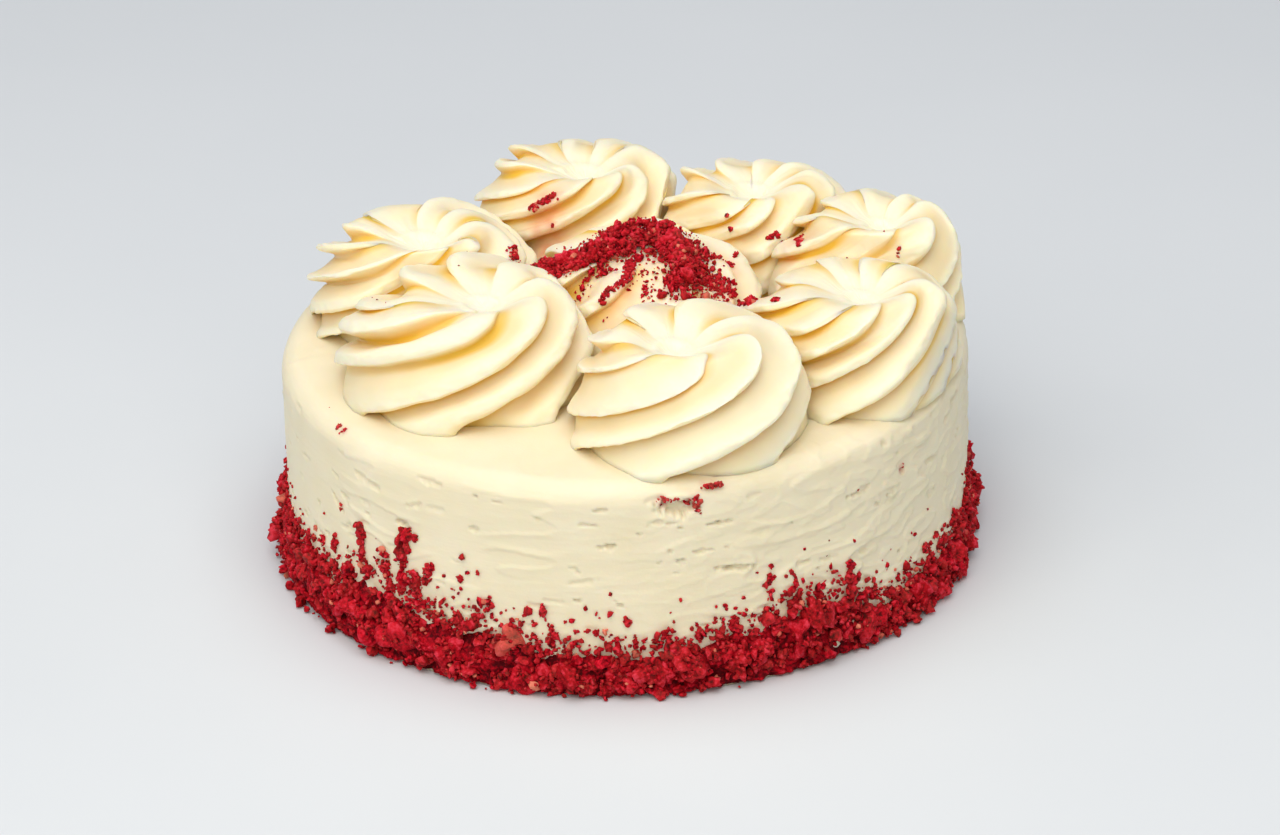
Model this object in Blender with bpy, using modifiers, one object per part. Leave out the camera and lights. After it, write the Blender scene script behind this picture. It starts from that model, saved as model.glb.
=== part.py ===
"""A whole red velvet cake: a round frosted body with a skirt of cake crumbs round
its foot, seven piped rosettes in a ring on top, and an eighth in the middle under
a heap of crumbs.

Metres, +Z up. The origin is the centre of the cake's flat underside, -Y is the
front. Each rosette is its own piece, pressed flat where it meets its neighbours.
"""

import math
import random

import bmesh
import bpy
from mathutils import Matrix, Vector, noise

# Driving dimensions
CAKE_RADIUS = 0.090
CAKE_HEIGHT = 0.0582
EDGE_ROUND = 0.0055          # the frosting's rounded top edge
LEAN = 0.0012                # how far the top stands over to +X
FROSTING_UNEVEN = 0.0006     # slow waves that the spatula left in the side
SKIRT_HEIGHT = 0.0140        # mean height of the packed crumbs round the foot
SKIRT_THICKNESS = 0.0014     # how far they stand out from the frosting
PIECE_GAP = 0.0003           # left between two pieces that touch

# The swirl that a large open-star nozzle leaves
ROSETTE_RADIUS = 0.0315
ROSETTE_HEIGHT = 0.0275
DIMPLE_DEPTH = 0.0060        # the hollow where the strands meet
DIMPLE_REACH = 0.60          # share of the way out where it ends
GROOVE_NEAR_POLE = 0.0024
GROOVE_AT_RIM = 0.0050
TOP_FLATNESS = 4.2           # higher keeps the top level further out
SIDE_STEEPNESS = 0.48        # lower makes the side more upright
TOP_TWIST = math.radians(24)
SIDE_TWIST = math.radians(128)
OVERHANG_LIMIT = 0.0912      # no strand hangs further out than this from the axis

# Cross-sections of a strand that stands up evenly and of one that leans over the
# next: share of its width, height between groove and crest
EVEN_SECTION = ((0.0, 0.0), (0.30, 0.62), (0.54, 1.0), (0.88, 0.22))
LEANING_SECTION = ((0.0, 0.0), (0.50, 0.44), (0.87, 1.0), (0.935, 0.40))
# Rings of the swirl, as shares of its radius
SWIRL_RINGS = (0.15, 0.32, 0.50, 0.66, 0.79, 0.88, 0.94, 0.972, 0.989, 0.997, 1.0)

# name: centre x, y, radius and height as shares of the full rosette,
#       pole's shift x, y, angle of the first strand's tip, number of strands,
#       twist and dimple as shares of the full ones
ROSETTES = {
    "rosette_front": (0.0170, -0.0545, 1.00, 1.05, -0.003, -0.009, 248, 7, 1.0, 1.0),
    "rosette_front_right": (0.0585, -0.0280, 0.99, 1.02, 0.004, -0.006, 290, 9, 0.80, 1.0),
    "rosette_right": (0.0665, 0.0130, 0.85, 1.08, 0.003, -0.006, 300, 8, 0.85, 1.0),
    "rosette_back": (0.0375, 0.0400, 0.90, 1.04, -0.001, -0.007, 205, 9, 0.90, 1.0),
    "rosette_back_left": (-0.0110, 0.0545, 0.91, 1.08, 0.003, -0.008, 176, 9, 0.95, 1.0),
    "rosette_left": (-0.0525, 0.0168, 0.98, 1.00, 0.002, -0.008, 165, 9, 0.90, 1.0),
    "rosette_front_left": (-0.0395, -0.0260, 1.09, 1.04, 0.006, -0.006, 252, 8, 0.92, 1.0),
    "rosette_centre": (0.0050, 0.0020, 1.04, 0.86, 0.001, 0.001, 240, 8, 0.5, 0.0),
}
STRAND_JITTER = 0.16         # how unevenly the strands share the circle
STRAND_LIFT = (-0.06, 0.05)  # how much lower or higher than the swirl each one is
STRAND_LEAN = (0.55, 1.0)    # from an even rib to one that hangs over
STRANDS_PART = (0.20, 0.55)  # share of the way out where two strands part
GROOVE_DEPTHS = (0.45, 1.25)
STRAND_REACH = (0.95, 1.10)  # how far out each strand spreads
STRAND_STOPS = (0.95, 1.20)  # share of the way down where it stops turning
STOP_SOFTNESS = 0.12

# Crumbs
CRUMB_STRETCH = (1.05, 1.60)
SKIRT_CRUMB_RADIUS = (0.0034, 0.0048)
# Rows of skirt crumbs: how many, their height, how proud of the frosting, their size
SKIRT_ROWS = ((41, 0.0042, 0.0026, 1.0), (41, 0.0112, 0.0020, 0.92), (24, 0.0178, 0.0005, 0.62))
HEAP_CRUMBS = 25
HEAP_CRUMB_RADIUS = (0.0027, 0.0040)
# The heap lies over the middle rosette along this line
HEAP_PATH = ((-0.025, 0.0065), (-0.017, 0.002), (-0.007, 0.003), (0.001, 0.006), (0.008, 0.005),
             (0.014, 0.001), (0.018, -0.005), (0.0175, -0.012))
HEAP_SPREAD = 0.0050
HEAP_PILE = 0.0020           # how far the middle of the heap is piled up
FLOOR_CLEARANCE = 0.0005

TURN_STEPS = 64              # straight stretches round the body


def clear_scene():
    """Start from nothing."""
    for obj in list(bpy.data.objects):
        bpy.data.objects.remove(obj, do_unlink=True)


def new_collection(name):
    collection = bpy.data.collections.new(name)
    bpy.context.scene.collection.children.link(collection)
    return collection


def new_material(name, colour, roughness):
    """A plain Principled finish; `colour` is linear RGB."""
    material = bpy.data.materials.new(name)
    material.use_nodes = True
    shader = material.node_tree.nodes["Principled BSDF"]
    shader.inputs["Base Color"].default_value = (*colour, 1.0)
    shader.inputs["Roughness"].default_value = roughness
    shader.inputs["Metallic"].default_value = 0.0
    return material


def new_object(name, mesh, collection, material):
    mesh.materials.append(material)
    obj = bpy.data.objects.new(name, mesh)
    collection.objects.link(obj)
    return obj


def smooth_step(low, high, value):
    share = min(max((value - low) / (high - low), 0.0), 1.0)
    return share * share * (3.0 - 2.0 * share)


def wave(angle, turns, seed):
    """Slow noise in -1..1 that closes on itself round the cake."""
    place = Vector((math.cos(angle) * turns, math.sin(angle) * turns, seed))
    return noise.noise(place) * 1.6


# ---------------------------------------------------------------- frosted body

def body_profile():
    """(radius, height, foot share) from the middle of the top to the middle of
    the underside; the foot share says how much of the crumb skirt a point has."""
    points = [(0.0, CAKE_HEIGHT, 0.0), (CAKE_RADIUS * 0.55, CAKE_HEIGHT, 0.0)]
    for step in range(5):
        turn = math.radians(90.0 * step / 4)
        points.append((CAKE_RADIUS - EDGE_ROUND * (1.0 - math.sin(turn)),
                       CAKE_HEIGHT - EDGE_ROUND * (1.0 - math.cos(turn)), 0.0))
    points.append((CAKE_RADIUS, CAKE_HEIGHT * 0.58, 0.0))
    points.append((CAKE_RADIUS, SKIRT_HEIGHT * 1.45, 0.0))
    points.append((CAKE_RADIUS, SKIRT_HEIGHT * 1.00, 0.45))
    points.append((CAKE_RADIUS, SKIRT_HEIGHT * 0.62, 1.0))
    points.append((CAKE_RADIUS, SKIRT_HEIGHT * 0.22, 1.15))
    points.append((CAKE_RADIUS, 0.0, 0.75))
    points.append((0.0, 0.0, 0.0))
    return points


def turned_mesh(name, points):
    """Turn a profile of (radius, height) about Z and weld its ends on the axis."""
    profile = bpy.data.meshes.new(name)
    vertices = [(radius, 0.0, height) for radius, height in points]
    profile.from_pydata(vertices, [(i, i + 1) for i in range(len(points) - 1)], [])
    obj = bpy.data.objects.new(name, profile)
    bpy.context.scene.collection.objects.link(obj)
    screw = obj.modifiers.new("turn", "SCREW")
    screw.steps = TURN_STEPS
    screw.render_steps = TURN_STEPS
    screw.use_merge_vertices = True
    screw.merge_threshold = 0.00001
    graph = bpy.context.evaluated_depsgraph_get()
    mesh = bpy.data.meshes.new_from_object(obj.evaluated_get(graph))
    bpy.data.objects.remove(obj, do_unlink=True)
    shape = bmesh.new()
    shape.from_mesh(mesh)
    bmesh.ops.remove_doubles(shape, verts=shape.verts, dist=0.00001)
    bmesh.ops.dissolve_degenerate(shape, edges=shape.edges, dist=0.00001)
    shape.to_mesh(mesh)
    shape.free()
    return mesh


def make_body(collection, frosting, crumb):
    """The frosted drum and the packed part of its crumb skirt, as one body."""
    profile = body_profile()
    mesh = turned_mesh("cake", [(radius, height) for radius, height, _ in profile])
    foot_share = {round(height, 6): share for _, height, share in profile}
    for vertex in mesh.vertices:
        radius = math.hypot(vertex.co.x, vertex.co.y)
        if radius < CAKE_RADIUS * 0.7:
            continue
        angle = math.atan2(vertex.co.y, vertex.co.x)
        height = vertex.co.z
        share = foot_share[round(height, 6)]
        out = FROSTING_UNEVEN * wave(angle, 1.4, height * 22.0)
        lumpy = 1.0 + 0.75 * wave(angle, 9.0, height * 120.0)
        out += SKIRT_THICKNESS * share * max(lumpy, 0.05)
        scale = (radius + out) / radius
        vertex.co.x *= scale
        vertex.co.y *= scale
        vertex.co.x += LEAN * height / CAKE_HEIGHT
        if 0.0 < height < SKIRT_HEIGHT * 1.2:
            vertex.co.z *= 1.0 + 0.22 * wave(angle, 6.0, 3.0)
    mesh.shade_smooth()
    mesh.set_sharp_from_angle(angle=math.radians(40))
    body = new_object("cake", mesh, collection, frosting)
    mesh.materials.append(crumb)
    for face in mesh.polygons:
        heights = [mesh.vertices[corner].co.z for corner in face.vertices]
        if 0.0 < max(heights) < SKIRT_HEIGHT * 1.3:
            face.material_index = 1
    return body


# --------------------------------------------------------------------- rosettes

def crest_point(share, radius, height, dimple):
    """Radius and height of a strand's crest, `share` of the way out."""
    top = height * max(1.0 - share ** TOP_FLATNESS, 0.0) ** SIDE_STEEPNESS
    top -= dimple * (1.0 - smooth_step(0.0, DIMPLE_REACH, share))
    return radius * share, top


def groove_point(share, radius, height, dimple, parting, deepness):
    """The bottom of the groove below that crest, square to the swirl's outline."""
    step = 0.01
    near = crest_point(max(share - step, 0.0), radius, height, dimple)
    far = crest_point(min(share + step, 1.0), radius, height, dimple)
    along = Vector((far[0] - near[0], far[1] - near[1])).normalized()
    depth = GROOVE_NEAR_POLE * smooth_step(parting, parting + 0.34, share)
    depth += (GROOVE_AT_RIM - GROOVE_NEAR_POLE) * smooth_step(0.40, 0.90, share)
    depth *= deepness
    crest = crest_point(share, radius, height, dimple)
    return crest[0] + along.y * depth, max(crest[1] - along.x * depth, 0.0)


def eased_stop(value, stop):
    """The value, eased so that it never passes the stop."""
    start = stop - STOP_SOFTNESS
    if value <= start:
        return value
    return start + STOP_SOFTNESS * (1.0 - math.exp((start - value) / STOP_SOFTNESS))


def twist_at(share, stop):
    """How far a strand has turned, clockwise from above, on its way out."""
    drop = 1.0 - max(1.0 - share ** TOP_FLATNESS, 0.0) ** SIDE_STEEPNESS
    turned = TOP_TWIST * math.asin(0.98 * share) / math.asin(0.98)
    return turned + SIDE_TWIST * eased_stop(drop, stop)


def strand_starts(first_tip, count, rng):
    """Angles where each strand begins, unevenly shared round the circle."""
    widths = [1.0 + rng.uniform(-STRAND_JITTER, STRAND_JITTER) for _ in range(count)]
    scale = 2.0 * math.pi / sum(widths)
    starts, widths = [], [width * scale for width in widths]
    angle = math.radians(first_tip) - widths[0] * 0.8
    for width in widths:
        starts.append(angle)
        angle += width
    return list(zip(starts, widths))


def groove_values(rng, limits, count):
    """A random value for every groove, and the first one again to close the circle."""
    values = [rng.uniform(*limits) for _ in range(count)]
    return values + values[:1]


def between(values, number, part):
    """The value at a place on a strand, eased over from its groove to the next."""
    return values[number] + (values[number + 1] - values[number]) * smooth_step(0.3, 0.9, part)


def cell_walls(name):
    """(direction, distance) of the flat faces where a rosette meets the others."""
    x, y, size = ROSETTES[name][:3]
    walls = []
    for other, values in ROSETTES.items():
        if other == name:
            continue
        away = Vector((values[0] - x, values[1] - y))
        own, others = size * ROSETTE_RADIUS, values[2] * ROSETTE_RADIUS
        apart = away.length
        if apart < (own + others) * STRAND_REACH[1] + PIECE_GAP:
            wall = (apart ** 2 + own ** 2 - others ** 2) / (2.0 * apart)
            walls.append((away.normalized(), wall - PIECE_GAP * 0.6))
    return walls


def keep_in_cell(point, centre, walls, margin=0.0):
    """Pull a point in towards the rosette's centre until it is inside its walls
    and not too far over the cake's edge."""
    offset = Vector((point.x - centre.x, point.y - centre.y))
    scale = 1.0
    for direction, distance in walls:
        reach = offset.dot(direction)
        if reach > distance - margin:
            scale = min(scale, (distance - margin) / reach)
    offset *= scale
    place = Vector((centre.x + offset.x, centre.y + offset.y))
    if place.length > OVERHANG_LIMIT:
        place *= OVERHANG_LIMIT / place.length
    return Vector((place.x, place.y, point.z))


def make_rosette(name, collection, material, rng):
    """One swirl: rings of points that follow the strands from pole to rim, closed
    by a point at the pole and a flat underside."""
    x, y, size, tall, shift_x, shift_y, first_tip, count, turn, hollow = ROSETTES[name]
    centre = Vector((x, y, CAKE_HEIGHT + PIECE_GAP))
    radius, height = size * ROSETTE_RADIUS, tall * ROSETTE_HEIGHT
    dimple = hollow * DIMPLE_DEPTH
    walls = cell_walls(name)
    strands = strand_starts(first_tip, count, rng)
    lift = [rng.uniform(*STRAND_LIFT) for _ in strands]
    own = random.Random(list(ROSETTES).index(name) + 1)
    lean = [own.uniform(*STRAND_LEAN) for _ in strands]
    partings, depths, reaches, stops = (groove_values(own, limits, count) for limits in (
        STRANDS_PART, GROOVE_DEPTHS, STRAND_REACH, STRAND_STOPS))
    shape = bmesh.new()
    total_twist = twist_at(1.0, 1.2)

    def ring(share):
        crest = crest_point(share, radius, height, dimple)
        slide = (1.0 - share) ** 0.8
        outward = smooth_step(0.25, 0.7, share)
        row = []
        for number, (start, width) in enumerate(strands):
            for even, leaning in zip(EVEN_SECTION, LEANING_SECTION):
                part, rise = (a + (b - a) * lean[number] for a, b in zip(even, leaning))
                groove = groove_point(share, radius, height, dimple,
                                      between(partings, number, part),
                                      between(depths, number, part))
                out = groove[0] + (crest[0] - groove[0]) * rise
                up = groove[1] + (crest[1] - groove[1]) * rise
                up *= 1.0 + lift[number] * rise * outward
                out *= 1.0 + (between(reaches, number, part) - 1.0) * outward
                left = total_twist - twist_at(share, between(stops, number, part))
                angle = start + width * part + turn * left
                point = centre + Vector((shift_x * slide + out * math.cos(angle),
                                         shift_y * slide + out * math.sin(angle), up))
                row.append(shape.verts.new(keep_in_cell(point, centre, walls)))
        return row

    pole = centre + Vector((shift_x, shift_y, crest_point(0.0, radius, height, dimple)[1]))
    top = shape.verts.new(pole)
    rows = [ring(share) for share in SWIRL_RINGS]
    for vertex in rows[-1]:
        vertex.co.z = centre.z
    bottom = shape.verts.new(centre)
    sides = len(rows[0])
    for i in range(sides):
        j = (i + 1) % sides
        shape.faces.new((top, rows[0][i], rows[0][j]))
        shape.faces.new((bottom, rows[-1][j], rows[-1][i]))
        for inner, outer in zip(rows, rows[1:]):
            shape.faces.new((inner[i], outer[i], outer[j], inner[j]))
    bmesh.ops.triangulate(shape, faces=[face for face in shape.faces if len(face.verts) > 3])
    mesh = bpy.data.meshes.new(name)
    shape.to_mesh(mesh)
    shape.free()
    mesh.shade_smooth()
    mesh.set_sharp_from_angle(angle=math.radians(40))
    return new_object(name, mesh, collection, material)


# ----------------------------------------------------------------------- crumbs

def crumb_mesh(name, size, turn, rng):
    """One angular crumb: an icosahedron with every corner pushed in or out, longer
    one way than the others, and turned about Z by `turn`."""
    shape = bmesh.new()
    bmesh.ops.create_icosphere(shape, subdivisions=1, radius=size)
    squash = Vector((rng.uniform(0.75, 1.05), rng.uniform(*CRUMB_STRETCH), rng.uniform(0.75, 1.05)))
    for vertex in shape.verts:
        vertex.co *= rng.uniform(0.80, 1.20)
        vertex.co = Vector(a * b for a, b in zip(vertex.co, squash))
    bmesh.ops.rotate(shape, verts=shape.verts, matrix=Matrix.Rotation(turn, 3, "Z"))
    mesh = bpy.data.meshes.new(name)
    shape.to_mesh(mesh)
    shape.free()
    return mesh


def add_crumb(collection, material, size, turn, place, rng, limit):
    """Place one crumb, with every corner held inside `limit`."""
    mesh = crumb_mesh("crumb", size, turn, rng)
    for vertex in mesh.vertices:
        vertex.co = limit(vertex.co + place)
    return new_object("crumb", mesh, collection, material)


def fuse_crumbs(piece, crumbs):
    """Union the crumbs with the piece that they lie on, then drop loose scraps."""
    union = piece.modifiers.new("crumbs", "BOOLEAN")
    union.operation = "UNION"
    union.operand_type = "COLLECTION"
    union.collection = crumbs
    union.solver = "EXACT"
    union.material_mode = "TRANSFER"
    graph = bpy.context.evaluated_depsgraph_get()
    mesh = bpy.data.meshes.new_from_object(piece.evaluated_get(graph))
    piece.modifiers.remove(union)
    piece.data = mesh
    for crumb in list(crumbs.objects):
        bpy.data.objects.remove(crumb, do_unlink=True)
    keep_largest_body(mesh)
    mesh.name = piece.name


def keep_largest_body(mesh):
    """Delete every connected part of a mesh except the one with most corners."""
    shape = bmesh.new()
    shape.from_mesh(mesh)
    bmesh.ops.remove_doubles(shape, verts=shape.verts, dist=0.000004)
    bmesh.ops.dissolve_degenerate(shape, edges=shape.edges, dist=0.000004)
    bmesh.ops.triangulate(shape, faces=shape.faces)
    unseen, bodies = set(shape.verts), []
    while unseen:
        body, edge_of_body = set(), [unseen.pop()]
        while edge_of_body:
            vertex = edge_of_body.pop()
            body.add(vertex)
            for edge in vertex.link_edges:
                other = edge.other_vert(vertex)
                if other in unseen:
                    unseen.discard(other)
                    edge_of_body.append(other)
        bodies.append(body)
    largest = max(bodies, key=len)
    for body in bodies:
        if body is not largest:
            bmesh.ops.delete(shape, geom=list(body), context="VERTS")
    shape.to_mesh(mesh)
    shape.free()


def add_skirt(crumbs, material, rng):
    """Crumbs pressed into the frosting round the foot, the largest lowest."""
    def above_floor(point):
        return Vector((point.x, point.y, max(point.z, FLOOR_CLEARANCE)))

    for row, (count, height, proud, share) in enumerate(SKIRT_ROWS):
        for number in range(count):
            angle = 2.0 * math.pi * (number + row * 0.5 + rng.uniform(-0.28, 0.28)) / count
            size = rng.uniform(*SKIRT_CRUMB_RADIUS) * share
            out = CAKE_RADIUS + proud + rng.uniform(-0.0009, 0.0009)
            place = Vector((out * math.cos(angle), out * math.sin(angle),
                            height + rng.uniform(-0.0013, 0.0013)))
            add_crumb(crumbs, material, size, angle, place, rng, above_floor)


def point_on_path(path, share):
    """A point `share` of the way along a line of straight stretches."""
    points = [Vector(point) for point in path]
    lengths = [(b - a).length for a, b in zip(points, points[1:])]
    left = share * sum(lengths)
    for start, end, length in zip(points, points[1:], lengths):
        if left <= length:
            return start.lerp(end, left / length)
        left -= length
    return points[-1]


def add_heap(crumbs, material, rng):
    """The heap of crumbs strewn over the middle rosette."""
    name = "rosette_centre"
    x, y, size, tall = ROSETTES[name][:4]
    dimple = ROSETTES[name][9] * DIMPLE_DEPTH
    centre = Vector((x, y, CAKE_HEIGHT + PIECE_GAP))
    walls = cell_walls(name)
    radius, height = size * ROSETTE_RADIUS, tall * ROSETTE_HEIGHT

    def inside(point):
        held = keep_in_cell(point, centre, walls, margin=PIECE_GAP)
        return Vector((held.x, held.y, max(held.z, centre.z + FLOOR_CLEARANCE)))

    for number in range(HEAP_CRUMBS):
        share = (number + 0.5) / HEAP_CRUMBS
        across = HEAP_SPREAD * (0.45 + 0.55 * math.sin(math.pi * share)) * (number % 3 - 1)
        spot = point_on_path(HEAP_PATH, share) + Vector((across * 0.3, across))
        spot += Vector((rng.uniform(-0.001, 0.001), rng.uniform(-0.001, 0.001)))
        out = min((spot - centre.xy).length / radius, 0.97)
        surface = crest_point(out, radius, height, dimple)[1]
        crumb_size = rng.uniform(*HEAP_CRUMB_RADIUS)
        level = centre.z + surface + crumb_size * 0.2 + HEAP_PILE * math.sin(math.pi * share)
        place = Vector((spot.x, spot.y, level))
        add_crumb(crumbs, material, crumb_size, rng.uniform(0.0, math.pi), place, rng, inside)


def main():
    clear_scene()
    cake = new_collection("red_velvet_cake")
    crumbs = new_collection("crumbs")
    frosting = new_material("cream_cheese_frosting", (0.86, 0.79, 0.60), 0.45)
    buttercream = new_material("piped_buttercream", (0.90, 0.82, 0.58), 0.42)
    crumb = new_material("red_cake_crumb", (0.40, 0.010, 0.022), 0.85)

    body = make_body(cake, frosting, crumb)
    rng = random.Random(11)
    rosettes = {name: make_rosette(name, cake, buttercream, rng) for name in ROSETTES}

    add_skirt(crumbs, crumb, random.Random(23))
    fuse_crumbs(body, crumbs)
    add_heap(crumbs, crumb, random.Random(31))
    fuse_crumbs(rosettes["rosette_centre"], crumbs)
    bpy.data.collections.remove(crumbs)


main()
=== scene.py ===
"""The looks of a whole red velvet cake: spread cream cheese frosting, swirls piped
with an open-star nozzle, and red cake crumbs pressed round the foot and strewn over
the middle, on a plain pale floor in soft studio light.

Metres, +Z up, the cake's front towards -Y. Angles run anticlockwise from +X, seen
from above, in degrees in the tables. Everything random is seeded.
"""

import math
import random

import bmesh
import bpy
import numpy as np
from mathutils import Matrix, Vector


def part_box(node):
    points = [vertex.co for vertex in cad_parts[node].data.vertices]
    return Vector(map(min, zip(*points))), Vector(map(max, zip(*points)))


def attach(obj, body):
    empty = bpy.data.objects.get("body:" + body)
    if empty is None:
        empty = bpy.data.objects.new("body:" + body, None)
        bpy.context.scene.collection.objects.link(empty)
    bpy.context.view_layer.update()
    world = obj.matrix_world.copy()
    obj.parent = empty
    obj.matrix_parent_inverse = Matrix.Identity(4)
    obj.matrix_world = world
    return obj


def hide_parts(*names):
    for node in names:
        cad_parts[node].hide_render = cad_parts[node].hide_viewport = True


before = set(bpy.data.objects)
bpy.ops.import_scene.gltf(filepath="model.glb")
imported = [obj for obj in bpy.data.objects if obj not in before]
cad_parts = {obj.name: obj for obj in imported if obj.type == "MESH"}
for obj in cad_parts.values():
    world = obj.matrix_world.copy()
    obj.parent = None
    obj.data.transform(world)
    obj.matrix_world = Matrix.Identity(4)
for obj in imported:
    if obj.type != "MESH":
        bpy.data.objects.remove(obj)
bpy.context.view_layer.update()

MM = 0.001

# ----------------------------------------------------------- sizes of the cake
CAKE_RADIUS = 90.0 * MM
PIECE_GAP = 0.3 * MM             # what the solids leave between two pieces
CAKE_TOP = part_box("rosette_front")[0].z - PIECE_GAP
EDGE_ROUND = 5.5 * MM            # the frosting's rounded top edge
LEAN = 1.2 * MM                  # how far the top stands over to +X
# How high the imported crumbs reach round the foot: angle, millimetres
SKIRT_TOP = ((-180, 19.0), (-150, 17.5), (-136, 22.0), (-125, 20.5), (-119, 16.5), (-113, 18.5),
             (-100, 15.5), (-88, 14.5), (-77, 15.5), (-73, 17.5), (-69.5, 15.0), (-65, 21.5),
             (-56, 19.5), (-51, 18.5), (-46, 14.0), (-38, 12.5), (-24, 14.0), (0, 15.0),
             (50, 17.0), (90, 18.0), (140, 17.0))

# The swirl that a large open-star nozzle leaves
SWIRL_RADIUS = 31.5 * MM
SWIRL_HEIGHT = 27.5 * MM
DIMPLE_DEPTH = 6.0 * MM
DIMPLE_REACH = 0.60              # share of the way out where the dimple ends
GROOVE_NEAR_POLE = 2.4 * MM
GROOVE_AT_RIM = 5.0 * MM
GROOVE_GROWS = 0.34              # share of the way out that a new groove takes to deepen
GROOVE_GROWS_AGAIN = (0.40, 0.90)    # and where it goes on to its depth at the rim
STRANDS_PART = (0.20, 0.55)      # share of the way out where two strands part
GROOVE_DEPTHS = (0.45, 1.25)     # how the grooves differ in depth
TOP_FLATNESS = 4.2               # higher keeps the top level further out
SIDE_STEEPNESS = 0.48            # lower makes the side more upright
TOP_TWIST = math.radians(24)
SIDE_TWIST = math.radians(128)
TWIST_RUSH = 0.98                # nearer 1 turns a strand more at the rim than before it
OVERHANG_LIMIT = 91.2 * MM       # no strand hangs further out than this
STRAND_JITTER = 0.16             # how unevenly the strands share the circle
STRAND_TIP = 0.8                 # where a strand's tip lies across its width
STRAND_LIFT = (-0.06, 0.05)      # how much lower or higher than the swirl each one is
STRAND_LEAN = (0.55, 1.0)        # from an even rib to one that hangs over
STRAND_REACH = (0.95, 1.10)      # how far out each strand spreads
STRAND_STOPS = (0.95, 1.20)      # share of the way down where it stops turning
STOP_SOFTNESS = 0.12
PRESS_SOFTNESS = 1.6 * MM        # how gently a swirl gives where it meets another
EASE_OVER = (0.3, 0.9)           # part of a strand where one groove's value gives way
RIBS_RISE = (0.12, 0.55)         # shares of the way out where the wave becomes ribs
OWN_WAYS = (0.25, 0.70)          # where each strand's own lift and reach set in
STRAND_SWAY = 0.20               # how far a strand strays, as a share of its width
POLE_SLIDE = 0.8                 # lower carries the pole's shift further down

# The marks that piping leaves on a swirl
LIP_HEIGHT = (0.80, 0.98)        # where on a strand its torn lip is
LIP_OUT = (0.55, 0.90)           # and how far out along the strand
LIP_TEAR = 0.07                  # how ragged the lips are, as a share of a strand
LIP_TEETH = 1.3 * MM             # how far apart the teeth of a torn lip are
LIP_LIFT = 0.40 * MM
DRAG_LINES = 0.07 * MM           # ridges that the nozzle's teeth leave along a strand
DRAG_COUNT = 7.0                 # how many of them a strand has
SWIRL_WOBBLE = 0.42 * MM
TAIL_RIDGE = 0.7 * MM            # the curl that the nozzle leaves as it lifts off
TAIL_WIDTH = 1.3 * MM
TAIL_START = 1.5 * MM            # the curl's first radius
TAIL_SPREAD = 5.0 * MM           # what its radius gains in one turn
FOOT_SINK = 0.5 * MM             # how far the swirls have sunk into the frosting

# node: centre x, y, radius and height as shares of the full swirl,
#       pole's shift x, y, angle of the first strand's tip, number of strands,
#       twist and dimple as shares of the full ones
SWIRLS = {
    "rosette_front": (0.0170, -0.0545, 1.00, 1.05, -0.003, -0.009, 248, 7, 1.0, 1.0),
    "rosette_front_right": (0.0585, -0.0280, 0.99, 1.02, 0.004, -0.006, 290, 9, 0.80, 1.0),
    "rosette_right": (0.0665, 0.0130, 0.85, 1.08, 0.003, -0.006, 300, 8, 0.85, 1.0),
    "rosette_back": (0.0375, 0.0400, 0.90, 1.04, -0.001, -0.007, 205, 9, 0.90, 1.0),
    "rosette_back_left": (-0.0110, 0.0545, 0.91, 1.08, 0.003, -0.008, 176, 9, 0.95, 1.0),
    "rosette_left": (-0.0525, 0.0168, 0.98, 1.00, 0.002, -0.008, 165, 9, 0.90, 1.0),
    "rosette_front_left": (-0.0395, -0.0260, 1.09, 1.04, 0.006, -0.006, 252, 8, 0.92, 1.0),
    "rosette_centre": (0.0050, 0.0020, 1.04, 0.86, 0.001, 0.001, 240, 8, 0.5, 0.0),
}
SWIRL_SEED = 11

# Cross-sections of a strand: share of its width, height between groove and crest.
# Near the pole it is a soft wave. Further out some strands stand up as even ribs, and
# others lean over so that their crest hangs above the next groove.
SOFT_SECTION = ((0.0, 0.0), (0.12, 0.08), (0.26, 0.26), (0.40, 0.54), (0.54, 0.82),
                (0.66, 0.98), (0.76, 0.98), (0.85, 0.74), (0.92, 0.40), (0.97, 0.12))
EVEN_SECTION = ((0.0, 0.0), (0.11, 0.10), (0.22, 0.34), (0.32, 0.70), (0.41, 0.94),
                (0.52, 1.0), (0.64, 0.96), (0.75, 0.76), (0.84, 0.36), (0.92, 0.06))
LEANING_SECTION = ((0.0, 0.0), (0.13, 0.05), (0.32, 0.18), (0.52, 0.44), (0.71, 0.78),
                   (0.87, 0.97), (0.975, 0.98), (1.02, 0.84), (0.965, 0.50), (0.905, 0.13))
STEPS_PER_POINT = 3
SWIRL_RINGS = 108
FIRST_RING = 0.03                # its share of the way out
WALL_GAP = PIECE_GAP * 0.6       # from a swirl to the wall between it and the next

# ------------------------------------------------------------------ small tools

# Large odd numbers that scramble a corner of a grid into a random direction
SCRAMBLE = np.array([374761393, 668265263, 1442695041])
SCRAMBLE_AGAIN = 1274126177


def smooth_step(low, high, value):
    share = np.clip((value - low) / (high - low), 0.0, 1.0)
    return share * share * (3.0 - 2.0 * share)


def ledge_step(low, full, gone, value):
    """Up from 0 to 1 between low and full, and slowly back to 0 at gone."""
    return smooth_step(low, full, value) * (1.0 - smooth_step(full, gone, value))


def linear(hex_colour):
    """A #RRGGBB colour as linear RGBA."""
    parts = [int(hex_colour[i:i + 2], 16) / 255.0 for i in (1, 3, 5)]
    straight = [c / 12.92 if c <= 0.04045 else ((c + 0.055) / 1.055) ** 2.4 for c in parts]
    return (*straight, 1.0)


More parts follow.
